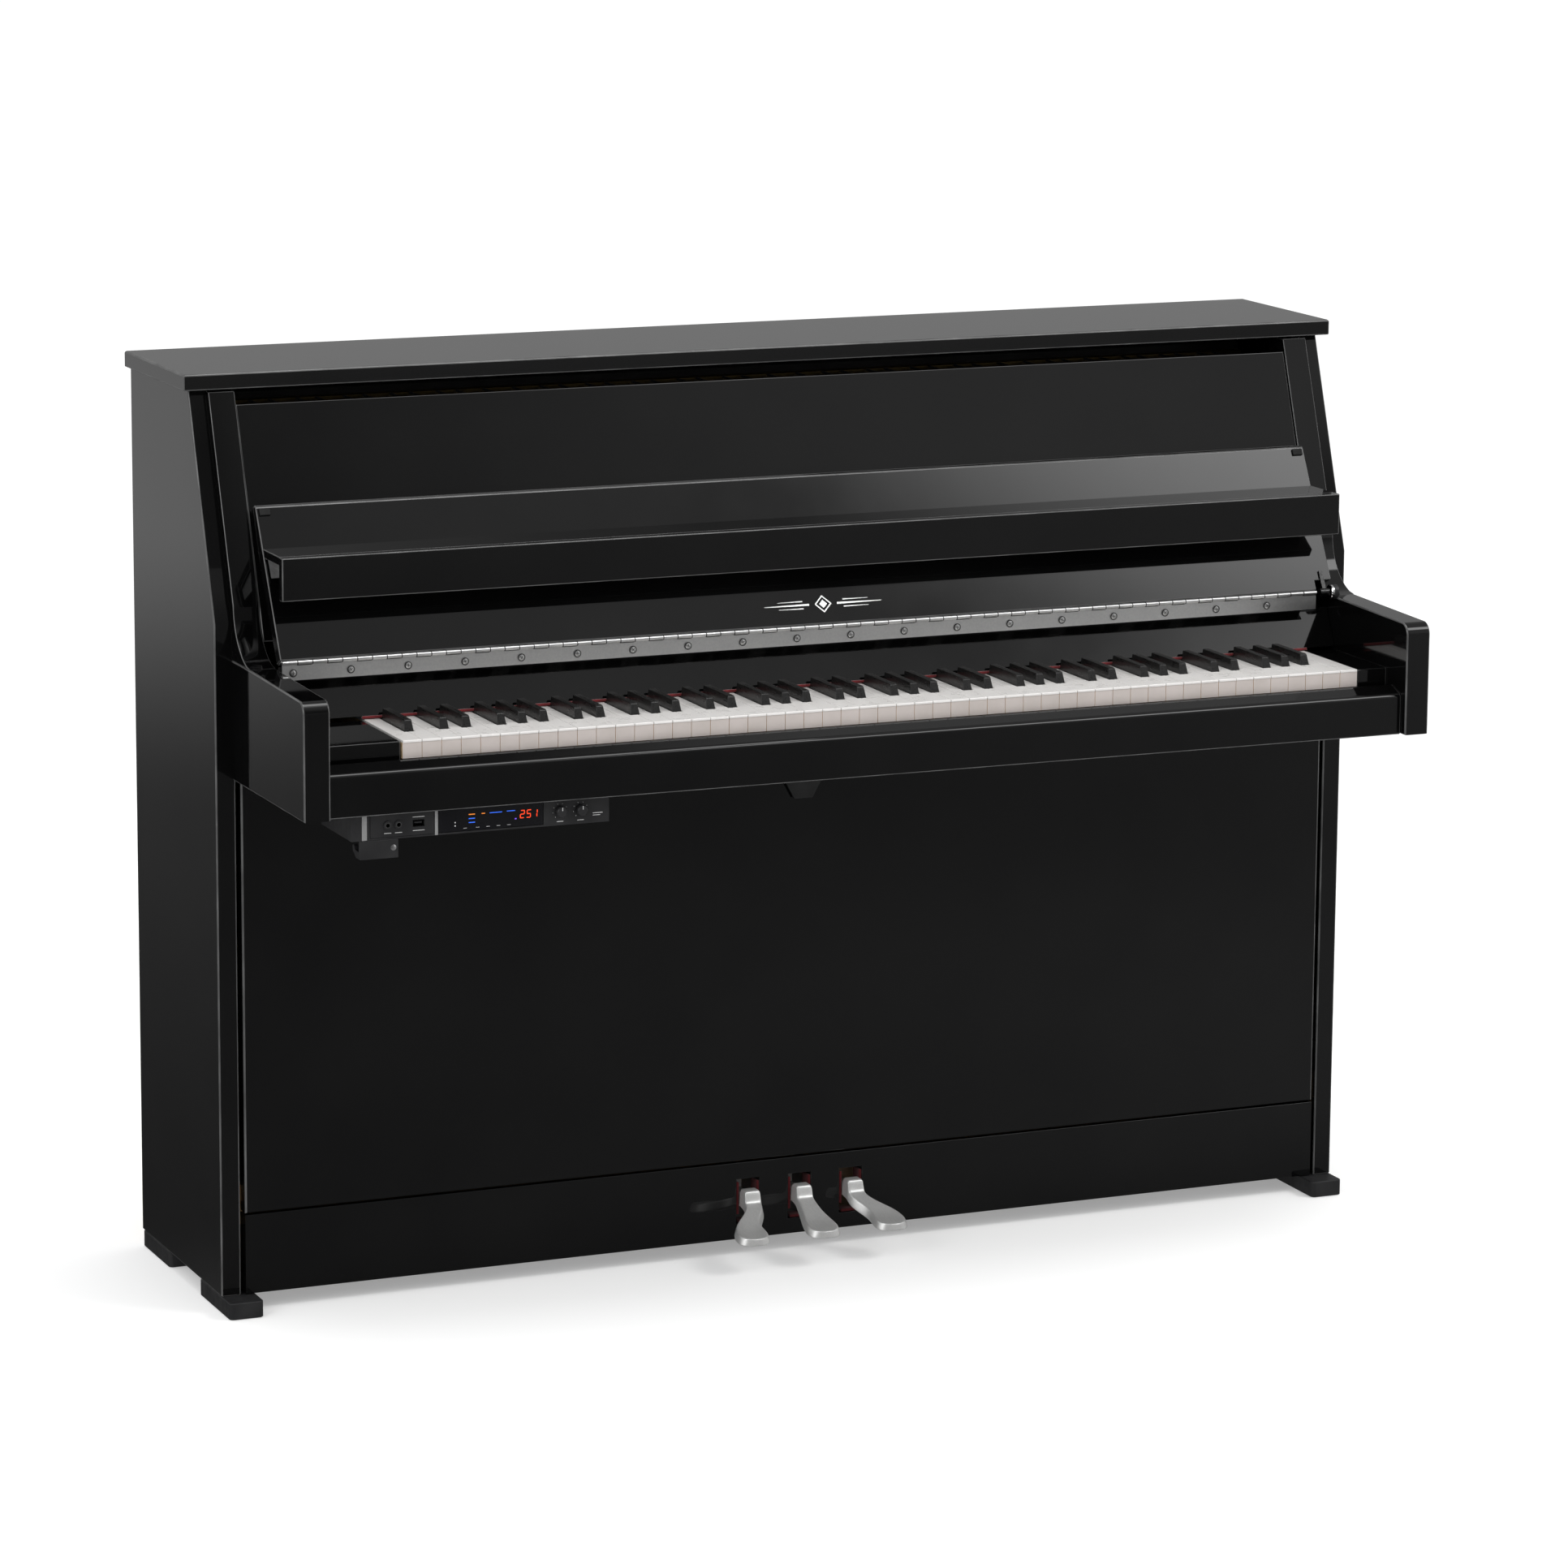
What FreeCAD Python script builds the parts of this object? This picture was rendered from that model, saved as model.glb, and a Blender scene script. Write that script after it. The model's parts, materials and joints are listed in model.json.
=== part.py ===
import FreeCAD, Part
import os
import math

V = FreeCAD.Vector

# ---------------------------------------------------------------------------
# Compact upright piano with an electronic silent unit.  Millimetres, +Z up,
# front faces -Y, origin on the floor under the middle of the bounding box.
# ---------------------------------------------------------------------------
WIDTH = 1490.0            # over the top lid
HEIGHT = 1100.0
DEPTH = 570.0             # back edge of the sides to the front of the arms
BACK = DEPTH / 2.0        # +Y face of the side panels
FRONT = -DEPTH / 2.0      # front of the arms

SIDE_X = 735.0            # outer face of a side panel
SIDE_T = 24.0
SIDE_Z0 = 20.0            # underside of the side panels, on the feet
SIDE_FRONT = BACK - 314.0  # upright front edge of a side, below the kink
SIDE_KINK_Z = 820.0
SIDE_TOP_Y = BACK - 224.0

LID_T = 19.0
LID_FRONT = BACK - 241.0
LID_BACK = BACK - 9.0
LID_Z = HEIGHT - LID_T

ARM_IN = 682.5            # inner face of an arm
ARM_OUT = 714.0
ARM_Z0 = 636.5
ARM_TOP_F = 772.5
ARM_TOP_B = 777.0

KEY_PITCH = 23.5          # one white key
KEY_X0 = -581.0           # left side of the first white key
KEY_TOP = 712.5
KEY_FRONT = BACK - 524.0
KEY_THICK = 21.0
KEY_BALANCE = BACK - 270.0
KEY_REAR = BACK - 136.0
SHARP_TOP = 725.0
SHARP_FRONT = BACK - 474.0
SHARP_REAR = BACK - 394.0

BED_Z0 = 636.5
BED_T = 34.5
SLIP_FRONT = BACK - 559.0

HINGE_Y = BACK - 389.0    # fallboard hinge axis
HINGE_Z = 784.0
FALL_LEAN = math.radians(62.1)
FALL_LEN = 193.0
FALL_T = 16.0
FALL_X = 679.5

REST_Y0 = BACK - 324.8    # where the music rest leaves the fallboard
REST_TOP = 906.5
REST_FRONT = BACK - 398.0
REST_LIP = 50.0

LID_AXIS_Y = BACK - 4.5
LID_AXIS_Z = 1086.0

PEDAL_AXIS_Y = BACK - 205.0
PEDAL_AXIS_Z = 66.0

os.makedirs("parts", exist_ok=True)
made = []


def save(name, shape):
    """One node, as a single solid or a compound of separate solids."""
    if isinstance(shape, (list, tuple)):
        shape = shape[0] if len(shape) == 1 else Part.makeCompound(list(shape))
    shape.exportStep("parts/%s.step" % name)
    made.append((name, len(shape.Solids), round(shape.Volume / 1e6, 4), shape.isValid()))


def box(x0, x1, y0, y1, z0, z1):
    return Part.makeBox(x1 - x0, y1 - y0, z1 - z0, V(x0, y0, z0))


def cyl(r, h, at, axis):
    return Part.makeCylinder(r, h, V(*at), V(*axis))


def yz(points, x0, x1):
    """Section in the YZ plane, pushed along X.  A point may be ('arc', mid, end)."""
    edges = []
    cur = points[0]
    first = cur
    for p in points[1:]:
        if p[0] == "arc":
            a, m, b = [V(x0, q[0], q[1]) for q in (cur, p[1], p[2])]
            edges.append(Part.Arc(a, m, b).toShape())
            cur = p[2]
        else:
            edges.append(Part.LineSegment(V(x0, cur[0], cur[1]), V(x0, p[0], p[1])).toShape())
            cur = p
    if math.hypot(cur[0] - first[0], cur[1] - first[1]) > 1e-6:
        edges.append(Part.LineSegment(V(x0, cur[0], cur[1]), V(x0, first[0], first[1])).toShape())
    face = Part.Face(Part.Wire(edges))
    return face.extrude(V(x1 - x0, 0, 0))


def xy(points, z0, z1):
    w = Part.makePolygon([V(p[0], p[1], z0) for p in points] + [V(points[0][0], points[0][1], z0)])
    return Part.Face(w).extrude(V(0, 0, z1 - z0))


def xz(points, y0, y1):
    w = Part.makePolygon([V(p[0], y0, p[1]) for p in points] + [V(points[0][0], y0, points[0][1])])
    return Part.Face(w).extrude(V(0, y1 - y0, 0))


def B(y):
    """Depth measured forward from the back edge of the sides."""
    return BACK - y


def fuse(items):
    s = items[0]
    for i in items[1:]:
        s = s.fuse(i)
    return s.removeSplitter()


def soften(shape, r, pick):
    edges = [e for e in shape.Edges if pick(e)]
    try:
        out = shape.makeFillet(r, edges)
        return out if out.isValid() and out.Volume > 0 else shape
    except Exception:
        return shape


def mirror(shape):
    return shape.mirror(V(0, 0, 0), V(1, 0, 0))


# ---------------------------------------------------------------- cabinet ---
side = yz([(BACK, SIDE_Z0), (BACK, LID_Z), (SIDE_TOP_Y, LID_Z), (SIDE_FRONT, SIDE_KINK_Z), (SIDE_FRONT, SIDE_Z0)],
          SIDE_X - SIDE_T, SIDE_X)
side = soften(side, 2.0, lambda e: abs(e.CenterOfMass.x - SIDE_X) < 0.01 or
              (e.Length > 100 and e.CenterOfMass.y < B(200) and abs(e.BoundBox.XLength) < 0.01))
save("side_panel_right", side)
save("side_panel_left", mirror(side))

# arm: flat cheek that carries the key bed, with a rounded front top corner
arm_front = yz([(B(380), ARM_TOP_B), (B(557), ARM_TOP_F + 0.3),
                ("arc", (B(566.2), 768.0), (FRONT, 759.0)),
                (FRONT, ARM_Z0), (B(314.2), ARM_Z0), (B(314.2), ARM_TOP_B)], ARM_IN, ARM_OUT)
arm_tail = yz([(B(314.2), ARM_TOP_B), (B(230), ARM_TOP_B), (B(230), ARM_Z0), (B(314.2), ARM_Z0)], ARM_IN, SIDE_X - SIDE_T)
arm = fuse([arm_front, arm_tail])
arm = soften(arm, 2.0, lambda e: e.CenterOfMass.y < B(320) and abs(e.BoundBox.XLength) < 0.01)
save("arm_right", arm)
save("arm_left", mirror(arm))

# batten: slanted post between side and upper panel, ends in a hollow foot on the arm
batten_front = yz([(B(236.5), 1078.0), (B(320.5), 842.0),
                   ("arc", (B(336.0), 801.0), (B(368.0), 779.0)), (B(380.0), ARM_TOP_B + 0.05),
                   (B(314.2), ARM_TOP_B + 0.05), (B(314.2), SIDE_KINK_Z + 0.5), (B(226.0), 1078.0)], ARM_IN, ARM_OUT)
batten_tail = yz([(B(314.2), ARM_TOP_B + 0.05), (B(314.2), SIDE_KINK_Z + 0.5), (B(226.0), 1078.0), (B(196.0), 1078.0),
                  (B(286.0), ARM_TOP_B + 0.05)], ARM_IN, SIDE_X - SIDE_T)
batten_front = batten_front.cut(side)
batten = fuse([batten_front, batten_tail])
batten = max(batten.Solids, key=lambda s: s.Volume)
save("batten_right", batten)
save("batten_left", mirror(batten))

# upper panel leans with the battens
up = yz([(B(239.0), 1063.0), (B(333.0), 800.0), (B(316.0), 794.0), (B(222.0), 1057.0)], -ARM_IN + 0.6, ARM_IN - 0.6)
up = soften(up, 2.0, lambda e: e.Length > 1000 and e.CenterOfMass.y < B(236) and e.CenterOfMass.z > 1060)
save("upper_panel", up)

low = box(-705.5, 705.5, B(316), B(298), 118.5, 633.0)
low = soften(low, 2.5, lambda e: e.CenterOfMass.y < B(315.9))
save("lower_panel", low)
slots = [box(x - 15, x + 15, B(317), B(295), 40, 96) for x in (-67.0, 1.0, 69.0)]
toe = box(-705.5, 705.5, B(316), B(296), SIDE_Z0 + 1, 116.5)
for s in slots:
    toe = toe.cut(s)
save("toe_rail", toe)
bottom = box(-711, 711, B(295.5), B(88), 21, 39)
save("bottom_board", bottom)

foot_f = soften(box(693, 735, B(346), B(228), 0, 19.9), 6.0, lambda e: e.BoundBox.ZLength > 10)
foot_f = soften(foot_f, 1.5, lambda e: e.CenterOfMass.z > 19.5)
foot_r = soften(box(693, 735, B(110), B(2), 0, 19.9), 6.0, lambda e: e.BoundBox.ZLength > 10)
save("feet", [foot_f, foot_r, mirror(foot_f), mirror(foot_r)])

# key bed, slip and cheek blocks
bed = box(-682.3, 682.3, B(545.8), B(250), BED_Z0, BED_Z0 + BED_T)
save("key_bed", bed)
slip = yz([(SLIP_FRONT, 636.0), (SLIP_FRONT, 680.5), ("arc", (B(557.3), 684.6), (B(553.5), 686.6)),
           (B(536.5), 693.0), (B(533.0), 693.0), (B(533.0), 671.2), (B(546.0), 671.2), (B(546.0), 636.0)], -682.3, 682.3)
save("key_slip", slip)


def cheek(x0, x1):
    c = box(x0, x1, B(521), B(389.5), 671.2, 711.5)
    return soften(c, 2.0, lambda e: e.CenterOfMass.z > 711 and e.CenterOfMass.y < B(520.9))


save("cheek_blocks", [cheek(-682.2, KEY_X0 - 1.6), cheek(KEY_X0 + 52 * KEY_PITCH + 1.0, 682.2)])

# the board leans back as the open fallboard does, under a ledge that carries the hinge
nameboard = yz([(B(390.0), 716.5), (B(368.6), 757.0), (B(369.6), 761.4), (B(387.0), 763.2),
                (B(387.0), 779.5), (B(372.0), 771.0), (B(350.0), 762.0), (B(354.0), 730.0), (B(368.0), 716.5)], -681.5, 681.5)
nameboard = nameboard.cut(box(648.0, 700.0, B(400), B(340), 761.5, 800))
save("nameboard", nameboard)
save("nameboard_felt", box(KEY_X0 - 2, KEY_X0 + 52 * KEY_PITCH + 2, B(391.6), B(384.0), 713.3, 716.4))

# ------------------------------------------------------------- back frame ---
posts = [box(x - 34, x + 34, B(66), B(4), 60, 1010) for x in (-600, -200, 200, 600)]
beams = [box(-710.5, 710.5, B(66), B(8), 21, 60), box(-710.5, 710.5, B(66), B(8), 1010, 1079)]
pin_block = box(-690, 690, B(103.5), B(66.5), 950, 1060)
cleat = [box(-710.5, -692, B(84.5), B(66.5), 60, 1040), box(692, 710.5, B(84.5), B(66.5), 60, 1040)]
save("back_frame", posts + beams + cleat + [pin_block])

sb = box(-690, 690, B(96), B(88), 90, 949)
save("soundboard", sb)
ribs = []
RIB_C, RIB_S = math.cos(math.radians(48)), math.sin(math.radians(48))
rib_field = box(-686, 686, B(87.9), B(70), 94, 945)
for i in range(13):
    # slanting ribs, each a straight bar on the back of the board
    off = -930 + i * 155                       # where its middle line meets mid height
    pts = [(off + s * RIB_C * 900 + w * RIB_S * 12, 520 + s * RIB_S * 900 - w * RIB_C * 12)
           for s, w in ((-1, 1), (1, 1), (1, -1), (-1, -1))]
    rib = xz(pts, B(87.9), B(70)).common(rib_field)
    ribs += [r for r in rib.Solids if r.Volume > 60000]
long_bridge = xz([(-560, 700), (-520, 735), (-120, 520), (250, 400), (560, 340), (560, 305), (240, 365), (-140, 482)], B(122), B(96.1))
bass_bridge = xz([(150, 240), (420, 200), (640, 190), (640, 160), (410, 168), (140, 208)], B(122), B(96.1))
save("ribs_and_bridges", ribs + [long_bridge, bass_bridge])

plate = box(-688, 688, B(116), B(104), 100, 1050)
holes = [xz([(-640, 560), (-640, 900), (-330, 900), (-330, 480)], B(120), B(100)),
         xz([(-310, 470), (-310, 900), (40, 900), (40, 320)], B(120), B(100)),
         xz([(60, 310), (60, 900), (350, 900), (350, 270)], B(120), B(100)),
         xz([(370, 265), (370, 900), (650, 900), (650, 250)], B(120), B(100)),
         xz([(120, 140), (120, 250), (660, 235), (660, 140)], B(120), B(100))]
for h in holes:
    plate = plate.cut(h)
STRUT_X = (-320, 50, 360)
struts = [box(x - 6, x + 6, B(134), B(116), 250, 945) for x in STRUT_X]
plate = fuse([plate] + struts + [box(-660, 660, B(124), B(116), 925, 940)])
plate = plate.cut(xz([(-580, 700), (-520, 755), (-120, 540), (250, 420), (580, 360), (580, 285), (240, 345), (-160, 462)],
                     B(122.6), B(100)))

# the 88 notes stand in four groups between the struts, as the strings do
NOTE_X = []
for a, b, n in ((-642, -334, 22), (-306, 36, 24), (64, 346, 20), (374, 650, 22)):
    NOTE_X += [a + (b - a) * k / (n - 1.0) for k in range(n)]
save("iron_plate", plate)

pins = []
for i, x in enumerate(NOTE_X):
    for j in range(2):
        pins.append(cyl(3.4, 34, (x - 2.5 + j * 5, B(116.2), 968 + 26 * ((i + 2 * j) % 4)), (0, -1, 0)))
save("tuning_pins", pins)
strings = []
for i, x in enumerate(NOTE_X):
    top = 924
    low_z = 250 + 380 * max(0.0, (600 - (x + 640)) / 600.0) if x > -640 else 600
    if i < 26:
        low_z = 640 - i * 12
    low_z = max(150, min(700, low_z))
    strings.append(cyl(0.7, top - low_z, (x, B(125.2), low_z), (0, 0, 1)))
save("strings", strings)

# ----------------------------------------------------------------- action ---
brackets = []
for x in (-668, -318, 52, 362, 668):
    foot_z = 672.2 if abs(x) > 600 else 724.0      # the end ones reach the rear rail, the others stand clear of the keys
    foot_y = 160.0 if abs(x) > 600 else 222.0
    brackets.append(yz([(B(foot_y), foot_z), (B(246), foot_z), (B(246), 740), (B(236), 960), (B(226), 985), (B(216), 985),
                        (B(222), 880), (B(222), 745), (B(foot_y), foot_z + 6)], x - 4, x + 4))
rail = box(-664, 664, B(246), B(224), 742, 764)
for b in brackets:
    rail = rail.cut(b)
save("action_brackets", brackets + list(rail.Solids))

ham = [box(-655, 655, B(214), B(202), 850, 864)]
dam = [box(-655, 655, B(176), B(168), 765, 777)]
for i, x in enumerate(NOTE_X):
    # shank against the rest rail, head with its nose to the strings
    h = fuse([box(x - 2.5, x + 2.5, B(201.9), B(196.5), 775, 905),
              box(x - 4, x + 4, B(204), B(158), 893, 915)])
    ham.append(h)
    if i < 70:
        dam.append(fuse([box(x - 1.5, x + 1.5, B(168), B(164), 770, 840), box(x - 4, x + 4, B(168), B(126.6), 820, 842)]))
save("hammers", ham)
save("dampers", dam)
save("muffler_rail", fuse([box(-650, 650, B(150), B(144), 930, 944), box(-645, 645, B(148), B(146), 921, 930)]))

# -------------------------------------------------------------- key frame ---
frame_rails = [box(KEY_X0 - 1.0, KEY_X0 + 52 * KEY_PITCH + 0.5, B(505), B(445), 671.2, 679.0),
               fuse([box(-680, 680, B(290), B(250.5), 671.2, 679.0), box(-580, 640, B(273), B(267), 679.0, 691.1)]),
               box(-710.5, 710.5, B(176), B(140), 655, 672)]
save("key_frame", frame_rails)

# ------------------------------------------------------------------- keys ---
WHITE = "CDEFGAB"
names = []                       # the 88 notes from A0 to C8
order = ["A", "A#", "B"] + ["C", "C#", "D", "D#", "E", "F", "F#", "G", "G#", "A", "A#", "B"] * 7 + ["C"]
wi = 0
white_index = []
for n in order:
    names.append(n)
SHARP_W = 11.0
SHIFT = {"C#": -1.9, "D#": 1.9, "F#": -2.6, "G#": 0.0, "A#": 2.6}
notes = []                       # (note, is_black, x centre)
for n in order:
    if "#" in n:
        notes.append((n, True, KEY_X0 + wi * KEY_PITCH + SHIFT[n]))
    else:
        notes.append((n, False, KEY_X0 + (wi + 0.5) * KEY_PITCH))
        wi += 1
GAP = 0.55
sharp_x = [x for n, b, x in notes if b]
white_groups = [[], [], []]
black_groups = [[], []]
w_i = b_i = 0
stick_z0 = KEY_TOP - KEY_THICK
for n, black, x in notes:
    if black:
        hw = SHARP_W / 2
        stick = box(x - hw, x + hw, SHARP_FRONT + 1.0, KEY_REAR, stick_z0, KEY_TOP - 3.0)
        cap = yz([(SHARP_FRONT, KEY_TOP - 3.0), (SHARP_FRONT + 5.5, SHARP_TOP - 1.0), (SHARP_FRONT + 8.0, SHARP_TOP),
                  (SHARP_REAR, SHARP_TOP), (SHARP_REAR, KEY_TOP - 3.0)], x - hw, x + hw)
        top_cut = [xz([(x + s * hw, SHARP_TOP + 1), (x + s * (hw - 1.3), SHARP_TOP + 1), (x + s * hw, KEY_TOP)],
                      SHARP_FRONT - 1, SHARP_REAR + 1) for s in (-1, 1)]
        for t in top_cut:
            cap = cap.cut(t)
        black_groups[b_i % 2].append(fuse([stick, cap]))
        b_i += 1
    else:
        x0, x1 = x - KEY_PITCH / 2 + GAP / 2, x + KEY_PITCH / 2 - GAP / 2
        l, r = x0, x1
        for sx in sharp_x:
            if abs(sx - x) < KEY_PITCH:
                if sx < x:
                    l = max(l, sx + SHARP_W / 2 + 0.9)
                else:
                    r = min(r, sx - SHARP_W / 2 - 0.9)
        if n == "A" and w_i == 0:
            l = x0
        shoulder = SHARP_FRONT - 1.6
        key = xy([(x0, KEY_FRONT), (x1, KEY_FRONT), (x1, shoulder), (r, shoulder), (r, KEY_REAR), (l, KEY_REAR),
                  (l, shoulder), (x0, shoulder)], stick_z0, KEY_TOP)
        white_groups[w_i % 3].append(key)
        w_i += 1
for i, g in enumerate(white_groups):
    save("white_keys_%s" % "abc"[i], g)
for i, g in enumerate(black_groups):
    save("black_keys_%s" % "ab"[i], g)

# -------------------------------------------------------------------- lid ---
lid = box(-WIDTH / 2, WIDTH / 2, LID_FRONT, LID_BACK, LID_Z, HEIGHT)
lid = soften(lid, 3.0, lambda e: e.CenterOfMass.z > HEIGHT - 0.1 or (e.BoundBox.ZLength > 10 and e.CenterOfMass.y < 0))
save("top_lid", lid)
save("lid_hinge_leaf", box(-690, 690, LID_BACK + 0.02, LID_BACK + 1.2, LID_Z + 2.2, HEIGHT - 4))
save("lid_hinge_base", fuse([box(-690, 690, B(8) + 0.02, B(8) + 1.4, 1060, 1083.2),
                             cyl(2.9, 1380, (-690, LID_AXIS_Y, LID_AXIS_Z), (1, 0, 0)),
                             box(-690, 690, B(6.62), B(4.6), 1080, 1084.4)]))

# -------------------------------------------------------------- fallboard ---
UY, UZ = math.cos(FALL_LEAN), math.sin(FALL_LEAN)       # along the board, upward
NY, NZ = math.sin(FALL_LEAN), -math.cos(FALL_LEAN)      # through the board, to the back


def F(s, t):
    return (HINGE_Y + s * UY + t * NY, HINGE_Z + s * UZ + t * NZ)


fall = yz([F(3.5, 0.0), F(FALL_LEN - 4, 0.0), F(FALL_LEN, 4.0), F(FALL_LEN, FALL_T - 3), F(FALL_LEN - 3, FALL_T),
           F(3.5, FALL_T)], -FALL_X, FALL_X)
notch = yz([F(-5, -5), F(16, -5), F(16, FALL_T + 5), F(-5, FALL_T + 5)], 656.5, FALL_X + 5)
fall = fall.cut(notch)
save("fallboard", fall)
leaf = yz([F(1.9, 2.2), F(3.45, 2.2), F(3.45, 14.0), F(1.9, 14.0)], -678, 655)
leaf_joint = []
knuck_low = []
N_K = 74
step = (655.0 + 678.0) / N_K
for i in range(N_K):
    x = -678.0 + i * step
    k = cyl(2.5, step - 0.3, (x + 0.15, HINGE_Y, HINGE_Z), (1, 0, 0))
    if i % 2:
        leaf_joint.append(fuse([k, yz([F(0.0, 1.2), F(2.2, 1.2), F(3.4, 3.0), F(1.9, 3.2), F(0.4, 2.4)], x + 0.15, x + step - 0.15)]))
    else:
        knuck_low.append(k)
upper_leaf = [leaf]
save("fallboard_hinge_upper", fuse(upper_leaf + leaf_joint))
low_leaf = box(-678, 655, B(388.6), B(387.05), 763.5, 781.9)
for i in range(N_K):
    if i % 2:
        x = -678.0 + i * step
        low_leaf = low_leaf.cut(box(x - 0.1, x + step + 0.1, B(392), B(384), 780.6, 786))
low = fuse([low_leaf] + [k for k in knuck_low])
screws = [cyl(3.4, 0.9, (-665.0 + i * 69.55, B(388.62), 772.0), (0, -1, 0)) for i in range(19)]
save("fallboard_hinge_lower", list(low.Solids) + screws)
bump = []
for sx in (-1, 1):
    xa, xb = (663.0, 676.0) if sx > 0 else (-676.0, -663.0)
    bump.append(yz([F(FALL_LEN - 15, -0.02), F(FALL_LEN - 6, -0.02), F(FALL_LEN - 6.6, -2.8), F(FALL_LEN - 14.4, -2.8)], xa, xb))
    c = cyl(7.0, 3.6, (sx * 600.0, F(FALL_LEN - 12, FALL_T + 0.02)[0], F(FALL_LEN - 12, FALL_T + 0.02)[1]), (0, NY, NZ))
    bump.append(c)
save("fallboard_bumpers", bump)
# soft-close damper drum on the arm and the chrome lever on the board
save("fallboard_damper", cyl(9.0, 9.7, (672.8, HINGE_Y, HINGE_Z), (1, 0, 0)))
lever = fuse([cyl(5.0, 12.4, (659.6, HINGE_Y, HINGE_Z), (1, 0, 0)),
              yz([F(2.0, -2.4), F(27.0, -2.4), F(27.0, -0.05), F(2.0, -0.05)], 663.5, 668.5)])
save("fallboard_lever", lever)

# ------------------------------------------------------------- music rest ---
shelf = yz([(REST_FRONT + 12.3, REST_TOP), (REST_Y0 - 0.8, REST_TOP), (REST_Y0 - 6.0, REST_TOP - 10.0),
            (REST_FRONT + 12.3, REST_TOP - 10.0)], -679.0, 679.0)
save("music_rest_shelf", shelf)
lip = box(-680.0, 680.0, REST_FRONT, REST_FRONT + 12.0, REST_TOP - REST_LIP, REST_TOP)
lip = soften(lip, 1.5, lambda e: e.CenterOfMass.y < REST_FRONT + 0.01)
save("music_rest_lip", lip)
br = []
for sx in (-1, 1):
    xa, xb = (-676.0, -673.0) if sx < 0 else (673.0, 676.0)
    br.append(yz([(REST_FRONT + 14, REST_TOP - 10.05), (REST_Y0 - 9.0, REST_TOP - 10.05), (REST_Y0 - 21.0, REST_TOP - 31.0),
                  (REST_FRONT + 14, REST_TOP - 24.0)], xa, xb))
save("music_rest_brackets", br)

# ----------------------------------------------------------------- pedals ---
def pedal(x_lug, x_toe):
    sec = [(B(148), 62), (B(148), 72), (B(300), 72), (B(316), 84), (B(328), 84), (B(340), 68), (B(368), 54), (B(406), 46),
           (B(406), 37), (B(368), 43), (B(336), 56), (B(322), 62), (B(300), 60), (B(216), 60), (B(194), 60)]
    lever_part = yz(sec, x_lug - 60, x_lug + 60)
    plan = [(x_lug - 11, B(140)), (x_lug - 11, B(335)), (x_toe - 19, B(372)), (x_toe - 21, B(388)), (x_toe - 17, B(400)),
            (x_toe - 8, B(405)), (x_toe + 8, B(405)), (x_toe + 17, B(400)), (x_toe + 21, B(388)), (x_toe + 19, B(372)),
            (x_lug + 11, B(335)), (x_lug + 11, B(140))]
    hole = cyl(4.06, 60, (x_lug - 30, PEDAL_AXIS_Y, PEDAL_AXIS_Z), (1, 0, 0))
    return lever_part.common(xy(plan, 0, 200)).cut(hole)


for nm, xl, xt in (("left", -67.0, -91.0), ("middle", 1.0, 1.0), ("right", 69.0, 90.0)):
    save("pedal_" + nm, pedal(xl, xt).removeSplitter())
save("pedal_felts", [box(x - 14.8, x - 11.4, B(315.5), B(296.5), 52, 92) for x in (-67.0, 1.0, 69.0)] +
     [box(x + 11.4, x + 14.8, B(315.5), B(296.5), 52, 92) for x in (-67.0, 1.0, 69.0)])
piv = []
for x in (-67.0, 1.0, 69.0):
    piv.append(fuse([box(x - 24, x - 12, B(222), B(190), 39.1, 78), box(x + 12, x + 24, B(222), B(190), 39.1, 78),
                     box(x - 24, x + 24, B(222), B(190), 39.1, 46),
                     cyl(4.0, 48, (x - 24, PEDAL_AXIS_Y, PEDAL_AXIS_Z), (1, 0, 0))]))
save("pedal_brackets", piv)
for nm, x in (("left", -67.0), ("middle", 1.0), ("right", 69.0)):
    save("pedal_rod_" + nm, cyl(6.0, 519, (x, B(156), 73.0), (0, 0, 1)))

# ------------------------------------------------------------ silent unit ---
unit = box(-650, -339, B(545), B(440), 605, 636.3)
unit = unit.cut(box(-546, -419, B(546), B(542), 607, 634))        # recess for the display
unit = unit.cut(box(-628, -551, B(546), B(543.5), 607, 634))      # recess for the socket plate
for x in (-399.0, -374.0):
    unit = unit.cut(cyl(3.2, 12, (x, B(546), 621.5), (0, 1, 0)))
for x in (-607.0, -594.0):
    unit = unit.cut(cyl(3.3, 30, (x, B(546), 621.0), (0, 1, 0)))
unit = unit.cut(box(-577, -563, B(546), B(528), 617, 625))
save("silent_unit", unit)
save("silent_display", box(-545.5, -419.5, B(544.6), B(542.1), 607.5, 633.5))
sock = box(-627.6, -551.4, B(545.4), B(543.6), 607.4, 633.6)
for x in (-607.0, -594.0):
    sock = sock.cut(cyl(3.3, 5, (x, B(546), 621), (0, 1, 0)))
sock = sock.cut(box(-577, -563, B(546), B(543), 617, 625))
ring = []
for x in (-607.0, -594.0):
    ring.append(cyl(5.2, 1.6, (x, B(547.0), 621), (0, 1, 0)).cut(cyl(3.3, 3, (x, B(547.5), 621), (0, 1, 0))))
save("silent_sockets", fuse([sock] + ring))
for nm, x in (("volume", -399.0), ("balance", -374.0)):
    save("silent_knob_" + nm, fuse([cyl(6.5, 8.0, (x, B(553.5), 621.5), (0, 1, 0)), cyl(3.13, 10, (x, B(546), 621.5), (0, 1, 0))]))
hook = yz([(B(545), 604.9), (B(545), 583), (B(530), 583), (B(519), 590), (B(519), 597), (B(523), 597), (B(527), 592),
           (B(540), 592), (B(540), 604.9)], -640, -594)
save("headphone_hook", hook)
save("panel_latch", xz([(-24, 636.2), (24, 636.2), (24, 585), (12, 563), (-12, 563), (-24, 585)], B(322.5), B(319.5)))

for m in made:
    print(m)
print("nodes", len(made))
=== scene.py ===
import json
import math

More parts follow.
